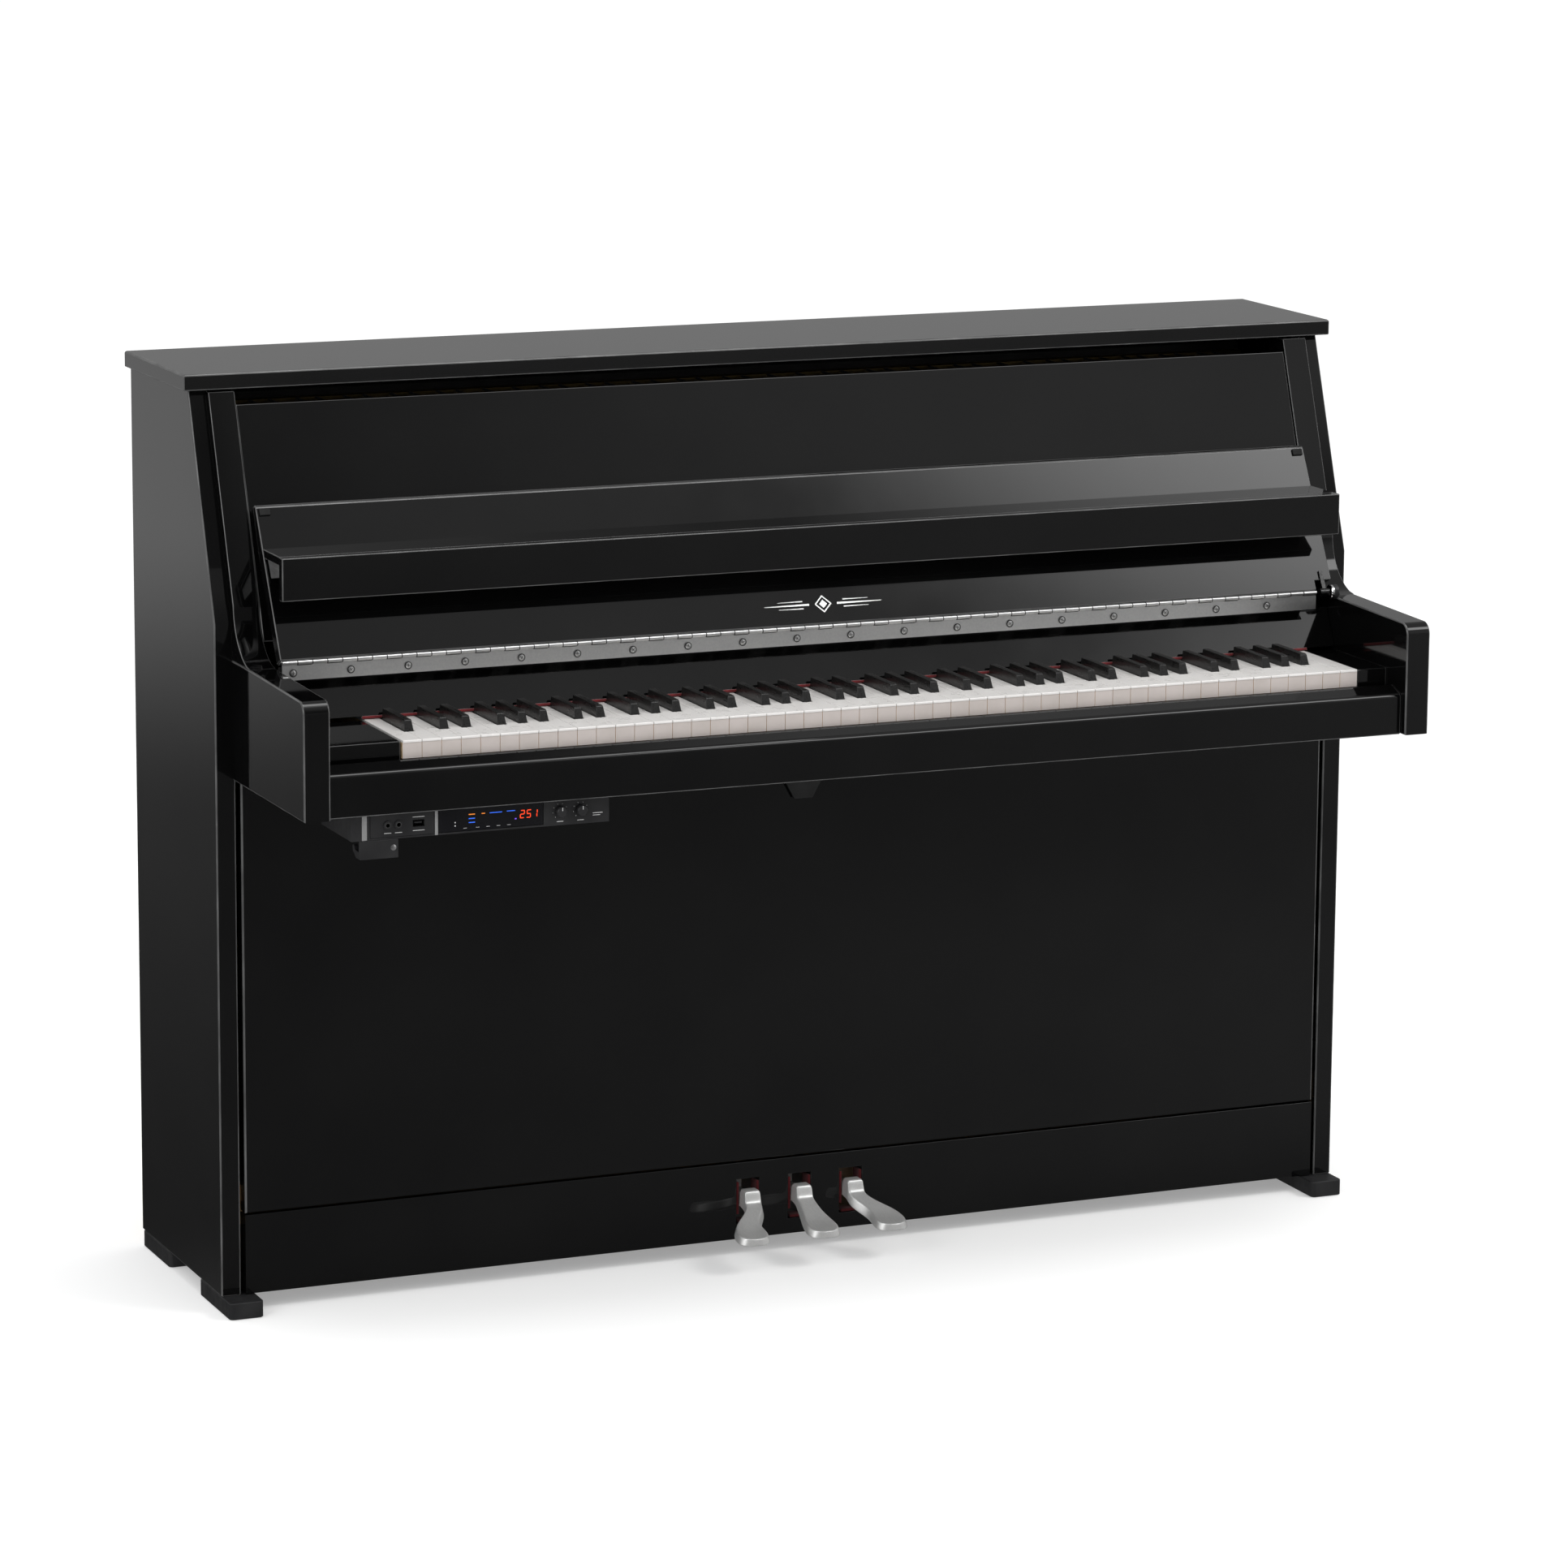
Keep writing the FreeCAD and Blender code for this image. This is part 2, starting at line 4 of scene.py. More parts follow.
import bmesh
import bpy
from mathutils import Matrix, Vector

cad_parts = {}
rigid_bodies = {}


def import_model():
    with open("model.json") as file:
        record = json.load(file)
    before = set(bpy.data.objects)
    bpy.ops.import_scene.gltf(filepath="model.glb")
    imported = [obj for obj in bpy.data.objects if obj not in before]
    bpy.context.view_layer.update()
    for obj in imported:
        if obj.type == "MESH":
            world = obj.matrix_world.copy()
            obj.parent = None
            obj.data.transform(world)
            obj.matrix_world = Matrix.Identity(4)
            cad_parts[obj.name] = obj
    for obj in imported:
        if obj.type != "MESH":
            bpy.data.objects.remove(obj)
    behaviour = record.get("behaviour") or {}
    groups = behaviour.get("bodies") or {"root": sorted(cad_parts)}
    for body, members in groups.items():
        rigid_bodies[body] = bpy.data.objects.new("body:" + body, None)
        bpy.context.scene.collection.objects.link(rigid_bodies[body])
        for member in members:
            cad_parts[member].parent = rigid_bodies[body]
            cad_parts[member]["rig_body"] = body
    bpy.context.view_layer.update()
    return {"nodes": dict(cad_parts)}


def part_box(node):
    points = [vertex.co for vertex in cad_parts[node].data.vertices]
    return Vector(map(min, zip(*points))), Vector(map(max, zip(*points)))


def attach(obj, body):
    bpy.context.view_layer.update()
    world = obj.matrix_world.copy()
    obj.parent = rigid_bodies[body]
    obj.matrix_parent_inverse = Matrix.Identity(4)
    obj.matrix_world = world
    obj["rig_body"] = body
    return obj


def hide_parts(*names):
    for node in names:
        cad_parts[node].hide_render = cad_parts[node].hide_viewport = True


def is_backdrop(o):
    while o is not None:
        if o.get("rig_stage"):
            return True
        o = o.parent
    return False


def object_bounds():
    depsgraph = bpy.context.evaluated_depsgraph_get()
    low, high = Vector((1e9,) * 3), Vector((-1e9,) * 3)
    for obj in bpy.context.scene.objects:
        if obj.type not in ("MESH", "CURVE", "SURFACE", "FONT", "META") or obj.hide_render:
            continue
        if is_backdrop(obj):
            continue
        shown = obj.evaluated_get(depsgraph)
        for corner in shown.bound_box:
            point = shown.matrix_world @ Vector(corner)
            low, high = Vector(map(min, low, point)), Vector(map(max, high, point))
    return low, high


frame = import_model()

N = frame["nodes"]
NODE_BODY = {n: o["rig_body"] for n, o in N.items()}
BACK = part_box("side_panel_left")[1].y          # back edge of the side panels


def B(mm):
    """Depth in mm measured forward from the back edge of the sides, as a Y in metres."""
    return BACK - mm / 1000.0


# --------------------------------------------------------------- materials ---
class Mat:
    """A procedural material: a Principled shader fed by a few noise nodes."""

    def __init__(self, name, **sockets):
        self.mat = bpy.data.materials.new(name)
        self.mat.use_nodes = True
        self.nt = self.mat.node_tree
        self.p = self.nt.nodes["Principled BSDF"]
        for k, v in sockets.items():
            self.p.inputs[k.replace("_", " ")].default_value = v
        tc = self.nt.nodes.new("ShaderNodeTexCoord")
        self.co = tc.outputs["Object"]

    def node(self, kind, **inputs):
        n = self.nt.nodes.new(kind)
        for k, v in inputs.items():
            n.inputs[k].default_value = v
        return n

    def link(self, a, b):
        self.nt.links.new(a, b)

    def mapped(self, scale=(1, 1, 1), rot=(0, 0, 0)):
        m = self.node("ShaderNodeMapping")
        m.inputs["Scale"].default_value = scale
        m.inputs["Rotation"].default_value = rot
        self.link(self.co, m.inputs["Vector"])
        return m.outputs["Vector"]

    def noise(self, scale, detail=2.0, rough=0.5, vec=None, distortion=0.0):
        n = self.node("ShaderNodeTexNoise", Scale=scale, Detail=detail, Roughness=rough, Distortion=distortion)
        self.link(vec if vec is not None else self.co, n.inputs["Vector"])
        return n.outputs["Fac"]

    def ramp(self, fac, stops):
        r = self.nt.nodes.new("ShaderNodeValToRGB")
        while len(r.color_ramp.elements) < len(stops):
            r.color_ramp.elements.new(0.5)
        for e, (pos, col) in zip(r.color_ramp.elements, stops):
            e.position = pos
            e.color = (*col, 1) if len(col) == 3 else col
        self.link(fac, r.inputs["Fac"])
        return r.outputs["Color"]

    def range(self, fac, lo, hi, a=0.3, b=0.7):
        m = self.node("ShaderNodeMapRange")
        for k, v in (("From Min", a), ("From Max", b), ("To Min", lo), ("To Max", hi)):
            m.inputs[k].default_value = v
        self.link(fac, m.inputs["Value"])
        return m.outputs["Result"]

    def color(self, fac, stops):
        self.link(self.ramp(fac, stops), self.p.inputs["Base Color"])

    def rough(self, fac, lo, hi, a=0.3, b=0.7):
        self.link(self.range(fac, lo, hi, a, b), self.p.inputs["Roughness"])

    def bump(self, fac, strength, distance=0.001):
        b = self.node("ShaderNodeBump", Strength=strength, Distance=distance)
        self.link(fac, b.inputs["Height"])
        if self.p.inputs["Normal"].is_linked:
            self.link(self.p.inputs["Normal"].links[0].from_socket, b.inputs["Normal"])
        self.link(b.outputs["Normal"], self.p.inputs["Normal"])


def grey(v):
    return (v, v, v)


def ebony():
    m = Mat("ebony_polish", Specular_IOR_Level=0.5)
    n = m.noise(7.0, 3.0)
    m.color(n, [(0.3, (0.0014, 0.0014, 0.0015)), (0.7, (0.0026, 0.0026, 0.0026))])
    m.rough(m.noise(14.0, 4.0), 0.035, 0.065)
    m.bump(m.noise(9.0, 1.0), 0.05, 0.0004)
    return m.mat


def white_key():
    m = Mat("white_key", Specular_IOR_Level=0.45, Coat_Weight=0.10, Coat_Roughness=0.2)
    m.color(m.noise(30.0, 3.0), [(0.3, (0.69, 0.672, 0.655)), (0.7, (0.72, 0.705, 0.69))])
    m.rough(m.noise(60.0, 4.0), 0.26, 0.34)
    m.bump(m.noise(500.0, 2.0), 0.008, 0.0002)
    return m.mat


# key fronts: the white key colour made darker and warmer, painted shade on the fronts
def key_front_painted_shade():
    m = Mat("white_key_front_painted_shade", Specular_IOR_Level=0.4)
    m.color(m.noise(40.0, 3.0), [(0.3, (0.52, 0.47, 0.44)), (0.7, (0.57, 0.515, 0.49))])
    m.rough(m.noise(60.0, 4.0), 0.30, 0.42)
    m.bump(m.noise(900.0, 2.0), 0.05, 0.0002)
    return m.mat


def black_key():
    m = Mat("black_key", Specular_IOR_Level=0.45)
    grain = m.noise(60.0, 6.0, 0.6, m.mapped((9, 1, 9)))
    m.color(grain, [(0.3, (0.006, 0.006, 0.006)), (0.7, (0.012, 0.0115, 0.011))])
    m.rough(grain, 0.24, 0.36)
    m.bump(grain, 0.06, 0.0002)
    return m.mat


def felt(name, a, b, scale=700.0):
    m = Mat(name, Sheen_Weight=0.6, Sheen_Roughness=0.5, Roughness=0.95, Specular_IOR_Level=0.15)
    f = m.noise(scale, 6.0, 0.7)
    m.color(f, [(0.3, a), (0.7, b)])
    m.bump(m.noise(scale * 1.6, 5.0, 0.8), 0.6, 0.0006)
    return m.mat


def metal(name, a, b, r0, r1, brush=(1, 30, 30), scale=60.0, strength=0.08):
    m = Mat(name, Metallic=1.0)
    g = m.noise(scale, 5.0, 0.6, m.mapped(brush))
    m.color(g, [(0.3, a), (0.7, b)])
    m.rough(m.noise(scale * 0.8, 4.0, 0.6, m.mapped(brush)), r0, r1)
    m.bump(g, strength, 0.0002)
    return m.mat


def plastic(name, a, b, r0, r1, grain=1400.0, strength=0.2, spec=0.4):
    m = Mat(name, Specular_IOR_Level=spec)
    m.color(m.noise(35.0, 3.0), [(0.3, a), (0.7, b)])
    m.rough(m.noise(90.0, 4.0), r0, r1)
    m.bump(m.noise(grain, 3.0, 0.6), strength, 0.0002)
    return m.mat


def wood(name, light, mid, dark, scale=(1, 1, 0.05), rot=(0, 0, 0), base=55.0, r0=0.45, r1=0.62, coat=0.0):
    m = Mat(name, Specular_IOR_Level=0.35, Coat_Weight=coat, Coat_Roughness=0.25)
    v = m.mapped(scale, rot)
    rings = m.noise(base, 3.0, 0.5, v, 0.35)
    fibre = m.noise(base * 9.0, 6.0, 0.7, v)
    mix = m.node("ShaderNodeMath")
    mix.operation = "MULTIPLY_ADD"
    m.link(fibre, mix.inputs[0])
    mix.inputs[1].default_value = 0.35
    m.link(rings, mix.inputs[2])
    m.color(mix.outputs[0], [(0.44, dark), (0.58, mid), (0.78, light)])
    m.rough(fibre, r0, r1)
    m.bump(fibre, 0.18, 0.0005)
    return m.mat


def emitter(name, col, strength):
    m = Mat(name, Roughness=0.4)
    m.p.inputs["Base Color"].default_value = (*[c * 0.2 for c in col], 1)
    m.p.inputs["Emission Color"].default_value = (*col, 1)
    m.link(m.range(m.noise(900.0, 2.0), strength * 0.8, strength * 1.2), m.p.inputs["Emission Strength"])
    return m.mat


def ebony_painted_edge_highlight():
    """Painted edge highlight on the arrises: the same lacquer with a far lighter colour and a softer gloss."""
    m = Mat("ebony_painted_edge_highlight", Specular_IOR_Level=0.6)
    m.color(m.noise(25.0, 4.0), [(0.3, (0.045, 0.045, 0.045)), (0.7, (0.10, 0.10, 0.10))])
    m.rough(m.noise(40.0, 4.0), 0.16, 0.28)
    return m.mat


EBONY = ebony()
EDGE_PAINTED_HIGHLIGHT = ebony_painted_edge_highlight()
WHITE = white_key()
KFRONT_PAINTED_SHADE = key_front_painted_shade()
BLACK = black_key()
RED = felt("red_felt", (0.12, 0.004, 0.007), (0.20, 0.010, 0.014))
# a darker copy of the red felt for the felts down at the pedals: painted shade
PFELT_PAINTED_SHADE = felt("red_felt_painted_shade", (0.030, 0.002, 0.003), (0.060, 0.004, 0.006))
PFELT_PAINTED_SHADE.node_tree.nodes["Principled BSDF"].inputs["Sheen Weight"].default_value = 0.08
FELT = felt("felt_white", (0.62, 0.60, 0.54), (0.76, 0.74, 0.68), 500.0)
GREENF = felt("felt_green", (0.03, 0.10, 0.05), (0.05, 0.15, 0.08), 600.0)
FOOT = plastic("foot_grey", (0.011, 0.011, 0.012), (0.019, 0.019, 0.020), 0.42, 0.6, 900.0, 0.35)
HINGE = metal("hinge_steel", (0.78, 0.78, 0.78), (0.86, 0.86, 0.85), 0.30, 0.40, (3, 3, 3), 120.0, 0.04)
SHELL = metal("shell_dark", (0.05, 0.05, 0.05), (0.08, 0.08, 0.08), 0.22, 0.32, (3, 3, 3), 120.0, 0.04)
CHROME = metal("chrome_part", (0.74, 0.74, 0.75), (0.84, 0.84, 0.84), 0.05, 0.12, (1, 1, 1), 40.0, 0.03)
PEDAL = metal("pedal_metal", (0.78, 0.78, 0.77), (0.86, 0.86, 0.85), 0.34, 0.44, (6, 1, 6), 90.0, 0.05)
PEDAL.node_tree.nodes["Principled BSDF"].inputs["Metallic"].default_value = 0.72
RUBBER = plastic("rubber_black", (0.008, 0.008, 0.008), (0.014, 0.014, 0.014), 0.6, 0.8, 700.0, 0.5, 0.25)
SPRUCE = wood("spruce", (0.72, 0.53, 0.31), (0.62, 0.43, 0.23), (0.46, 0.29, 0.13), (1, 1, 0.04))
SPRUCE_X = wood("spruce_beam", (0.70, 0.51, 0.30), (0.60, 0.41, 0.22), (0.44, 0.27, 0.12), (0.04, 1, 1))
BOARD = wood("spruce_board", (0.80, 0.58, 0.32), (0.72, 0.48, 0.24), (0.55, 0.34, 0.15), (1, 1, 0.03),
             (0, math.radians(-42), 0), 70.0, 0.28, 0.42, 0.5)
RIB = wood("spruce_rib", (0.74, 0.55, 0.33), (0.64, 0.45, 0.25), (0.48, 0.31, 0.15), (1, 1, 0.04),
           (0, math.radians(48), 0), 55.0)
STICK = wood("spruce_stick", (0.74, 0.56, 0.35), (0.66, 0.47, 0.27), (0.52, 0.35, 0.18), (1, 0.04, 1), (0, 0, 0), 120.0)
BEECH = wood("beech", (0.60, 0.42, 0.27), (0.52, 0.34, 0.20), (0.38, 0.22, 0.12), (0.06, 1, 1), (0, 0, 0), 90.0)
GOLD = metal("plate_gold", (0.20, 0.145, 0.06), (0.27, 0.20, 0.09), 0.34, 0.50, (1, 1, 1), 300.0, 0.25)
STRING = metal("string_steel", (0.55, 0.55, 0.56), (0.70, 0.70, 0.71), 0.20, 0.32, (30, 30, 1))
UNIT = plastic("unit_black", (0.013, 0.013, 0.014), (0.021, 0.021, 0.022), 0.32, 0.44, 1600.0, 0.22)
GLOSS = plastic("display_gloss", (0.003, 0.003, 0.004), (0.005, 0.005, 0.006), 0.05, 0.10, 40.0, 0.02, 0.5)
LATCH = plastic("latch_black", (0.010, 0.010, 0.010), (0.018, 0.018, 0.018), 0.32, 0.46, 900.0, 0.15)
PRINT = plastic("panel_print", (0.42, 0.42, 0.42), (0.55, 0.55, 0.55), 0.4, 0.5, 900.0, 0.05)
SILVER = metal("inlay_silver", (0.66, 0.66, 0.66), (0.78, 0.78, 0.77), 0.18, 0.28, (0.5, 20, 20))
BRASS = metal("brass_pin", (0.60, 0.45, 0.20), (0.72, 0.55, 0.28), 0.2, 0.3)
LED_RED = emitter("led_red", (1.0, 0.06, 0.01), 1.10)
LED_AMBER = emitter("led_amber", (1.0, 0.28, 0.03), 0.80)
LED_BLUE = emitter("led_blue", (0.03, 0.16, 1.0), 0.90)
LED_VIOLET = emitter("led_violet", (0.25, 0.10, 1.0), 0.80)

SLOT = {"ebony_polish": EBONY, "white_key": WHITE, "black_key": BLACK, "red_felt": RED, "foot_grey": FOOT,
        "hinge_steel": HINGE, "chrome_part": CHROME, "pedal_metal": PEDAL, "rubber_black": RUBBER, "spruce": SPRUCE,
        "beech": BEECH, "plate_gold": GOLD, "string_steel": STRING, "felt_white": FELT, "unit_black": UNIT,
        "display_gloss": GLOSS, "latch_black": LATCH}

NODE_SLOT = {}
for n, o in N.items():
    old = [m.name.split(".")[0] if m else "ebony_polish" for m in o.data.materials]
    NODE_SLOT[n] = old[0] if old else "ebony_polish"
    for i, s in enumerate(old):
        o.data.materials[i] = SLOT.get(s, EBONY)


# ---------------------------------------------------------------- builders ---
def put(name, bm, body, mats, smooth=40.0, replaces=(), weighted=True):
    """Turns a bmesh into a piece that rides on a body."""
    bmesh.ops.recalc_face_normals(bm, faces=bm.faces)
    me = bpy.data.meshes.new(name)
    bm.to_mesh(me)
    bm.free()
    for m in mats:
        me.materials.append(m)
    o = bpy.data.objects.new(name, me)
    bpy.context.scene.collection.objects.link(o)
    for p in me.polygons:
        p.use_smooth = True
    me.set_sharp_from_angle(angle=math.radians(smooth))
    if weighted:
        w = o.modifiers.new("weighted", "WEIGHTED_NORMAL")
        w.keep_sharp = True
        w.weight = 80
    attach(o, body)
    if replaces:
        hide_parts(*replaces)
    return o


def clean(node):
    """A welded bmesh copy of a CAD node, with its flat faces joined."""
    src = N[node].data
    bm = bmesh.new()
    vs = [bm.verts.new(v.co) for v in src.vertices]
    for p in src.polygons:
        try:
            bm.faces.new([vs[i] for i in p.vertices])
        except ValueError:
            pass
    bmesh.ops.remove_doubles(bm, verts=bm.verts, dist=3e-6)
    bmesh.ops.dissolve_limit(bm, angle_limit=math.radians(0.5), verts=bm.verts, edges=bm.edges)
    bm.normal_update()
    return bm


def round_edges(bm, width, segs=3, angle=32.0, pick=None, material=-1):
    edges = []
    for e in bm.edges:
        if len(e.link_faces) != 2 or e.calc_face_angle(0) < math.radians(angle):
            continue
        if not e.is_convex:
            continue
        if pick is None or pick(e):
            edges.append(e)
    if edges:
        bmesh.ops.bevel(bm, geom=edges, offset=width / 1000.0, offset_type="OFFSET", segments=segs, profile=0.5,
                        affect="EDGES", clamp_overlap=True, loop_slide=True, material=material)


def refine(node, width=1.0, segs=3, mats=None, assign=None, pick=None, angle=32.0, name=None, edge=None, plain=None):
    """The CAD node's own shape with rounded edges and clean shading, standing for it.
    edge(normal, centre) says which faces of the CAD rounding also get the painted edge highlight."""
    bm = clean(node)
    # polished parts carry a second material on their bevel faces: the painted edge highlight
    polished = mats is None and NODE_SLOT[node] == "ebony_polish"
    if polished:
        mats = [EBONY, EDGE_PAINTED_HIGHLIGHT]
    round_edges(bm, width, segs, angle, pick, 1 if polished else -1)
    bm.normal_update()
    if polished and edge:
        for f in bm.faces:
            if edge(f.normal, f.calc_center_median()):
                f.material_index = 1
            if plain and plain(f.calc_center_median()):
                f.material_index = 0
    if assign:
        for f in bm.faces:
            f.material_index = assign(f.calc_center_median(), f.normal)
    return put(name or node + "_fine", bm, NODE_BODY[node], mats or [SLOT[NODE_SLOT[node]]], 40.0, [node])


def slab(bm, lo, hi, width=0.5, segs=2, mat=0):
    """A rounded bar from lo to hi, metres, added to bm."""
    g = bmesh.ops.create_cube(bm, size=1.0)["verts"]
    c, d = (Vector(lo) + Vector(hi)) / 2, Vector(hi) - Vector(lo)
    for v in g:
        v.co = Vector([c[k] + v.co[k] * d[k] for k in range(3)])
    faces = {f for v in g for f in v.link_faces}
    for f in faces:
        f.material_index = mat
    if width:
        edges = list({e for v in g for e in v.link_edges})
        r = bmesh.ops.bevel(bm, geom=edges, offset=min(width / 1000.0, min(d) * 0.45), offset_type="OFFSET", segments=segs,
                            profile=0.5, affect="EDGES", clamp_overlap=True)
        for f in r["faces"]:
            f.material_index = mat


def lathe(bm, origin, axis, profile, n=32, mat=0, ref=None):
    """Turns a profile of (distance along the axis, radius) in metres."""
    a = Vector(axis).normalized()
    u = (ref if ref is not None else (Vector((0, 0, 1)) if abs(a.z) < 0.9 else Vector((1, 0, 0)))).cross(a).normalized()
    w = a.cross(u)
    rings = []
    for s, r in profile:
        c = Vector(origin) + a * s
        if r < 1e-7:
            rings.append([bm.verts.new(c)])
        else:
            rings.append([bm.verts.new(c + (u * math.cos(t) + w * math.sin(t)) * r)
                          for t in [2 * math.pi * k / n for k in range(n)]])
    for p, q in zip(rings, rings[1:]):
        for k in range(n):
            k2 = (k + 1) % n
            vs = [p[k % len(p)], p[k2 % len(p)], q[k2 % len(q)], q[k % len(q)]]
            vs = [v for i, v in enumerate(vs) if v not in vs[:i]]
            if len(vs) > 2:
                bm.faces.new(vs).material_index = mat
    return rings


# ------------------------------------------------------------ cabinet work ---
# edge tests: which faces of the CAD rounding also get the painted edge highlight
def side_painted_highlight_faces(n, c):
    return 0.12 < abs(n.x) < 0.985


for n in ("side_panel_left", "side_panel_right", "arm_left", "arm_right"):
    refine(n, 1.2, edge=side_painted_highlight_faces)
for n in ("batten_left", "batten_right"):
    refine(n, 1.4)
refine("upper_panel", 1.2)
refine("lower_panel", 0.8, edge=lambda n, c: max(abs(n.x), abs(n.y), abs(n.z)) < 0.985,
       plain=lambda c: abs(c.x) < 0.60)
refine("toe_rail", 0.6, mats=[EBONY])
refine("top_lid", 1.4, edge=lambda n, c: max(abs(n.x), abs(n.y), abs(n.z)) < 0.985)
refine("key_slip", 1.2)
refine("cheek_blocks", 1.2)
refine("nameboard", 0.9)
refine("fallboard", 1.3)
refine("music_rest_shelf", 0.9)
refine("music_rest_lip", 0.9, edge=lambda n, c: max(abs(n.x), abs(n.y), abs(n.z)) < 0.985)
refine("music_rest_brackets", 0.5, 2)
refine("feet", 1.2)
refine("key_bed", 1.5)
refine("bottom_board", 1.5, mats=[LATCH])
refine("nameboard_felt", 0.7)
refine("pedal_felts", 0.8, mats=[PFELT_PAINTED_SHADE])
refine("pedal_brackets", 0.6, 2)
refine("panel_latch", 0.7, 2)
refine("headphone_hook", 1.0)
refine("soundboard", 1.0, mats=[BOARD])
refine("ribs_and_bridges", 3.0, 3, mats=[RIB, BEECH], assign=lambda c, n: 1 if c.y < B(94) else 0)
refine("back_frame", 4.0, 3, mats=[SPRUCE, SPRUCE_X, LATCH],
       assign=lambda c, n: (2 if (c.y < B(60) and c.z > 0.9) or c.z > 1.078 else 1) if (c.z < 0.0605 or c.z > 1.0095) else (2 if c.y < B(66.2) else 0))
refine("iron_plate", 2.5, 3)
refine("key_frame", 1.0)
refine("lid_hinge_leaf", 0.3, 1)
refine("muffler_rail", 0.6, 2, mats=[GREENF])
refine("action_brackets", 0.8, 2, mats=[BEECH, LATCH], assign=lambda c, n: 0)
refine("hammers", 1.6, 3, mats=[FELT, BEECH],
       assign=lambda c, n: 0 if (c.z > 0.8925 and c.y > B(200)) else 1)
refine("dampers", 0.8, 2, mats=[FELT, BEECH, HINGE],
       assign=lambda c, n: 0 if (c.z > 0.819 and c.y > B(162)) else (1 if c.z > 0.8185 or c.y < B(168) else 2))


# -------------------------------------------------------------------- keys ---
KEY_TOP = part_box("white_keys_a")[1].z
KEY_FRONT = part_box("white_keys_a")[0].y
PLATE = 0.0026


def white_keys(node):
    bm = clean(node)
    for z in (KEY_TOP - PLATE, KEY_TOP - PLATE - 0.0003):
        bmesh.ops.bisect_plane(bm, geom=bm.verts[:] + bm.edges[:] + bm.faces[:], plane_co=(0, 0, z), plane_no=(0, 0, 1))
    for v in bm.verts:
        if v.co.z < KEY_TOP - PLATE - 0.0002 and v.co.y < KEY_FRONT + 0.0001:
            v.co.y += 0.0008
    bm.normal_update()

    def pick(e):
        a, b = e.verts
        top = a.co.z > KEY_TOP - 1e-5 and b.co.z > KEY_TOP - 1e-5
        corner = (abs(a.co.x - b.co.x) < 1e-6 and abs(a.co.y - b.co.y) < 1e-6 and a.co.y < KEY_FRONT + 0.0001
                  and min(a.co.z, b.co.z) > KEY_TOP - PLATE - 1e-5)
        return top or corner

    round_edges(bm, 0.9, 3, 32.0, pick)
    bm.normal_update()

    def assign(c, n):
        if c.z > KEY_TOP - PLATE - 0.00035:
            return 0
        # front faces take the darker front colour, painted shade
        return 1 if (n.y < -0.5 and c.y < KEY_FRONT + 0.004) else 2

    for f in bm.faces:
        f.material_index = assign(f.calc_center_median(), f.normal)
    return put(node + "_fine", bm, NODE_BODY[node], [WHITE, KFRONT_PAINTED_SHADE, STICK], 40.0, [node])


for n in ("white_keys_a", "white_keys_b", "white_keys_c"):
    white_keys(n)
for n in ("black_keys_a", "black_keys_b"):
    refine(n, 1.0, 3, pick=lambda e: min(v.co.z for v in e.verts) > KEY_TOP - 0.0032)


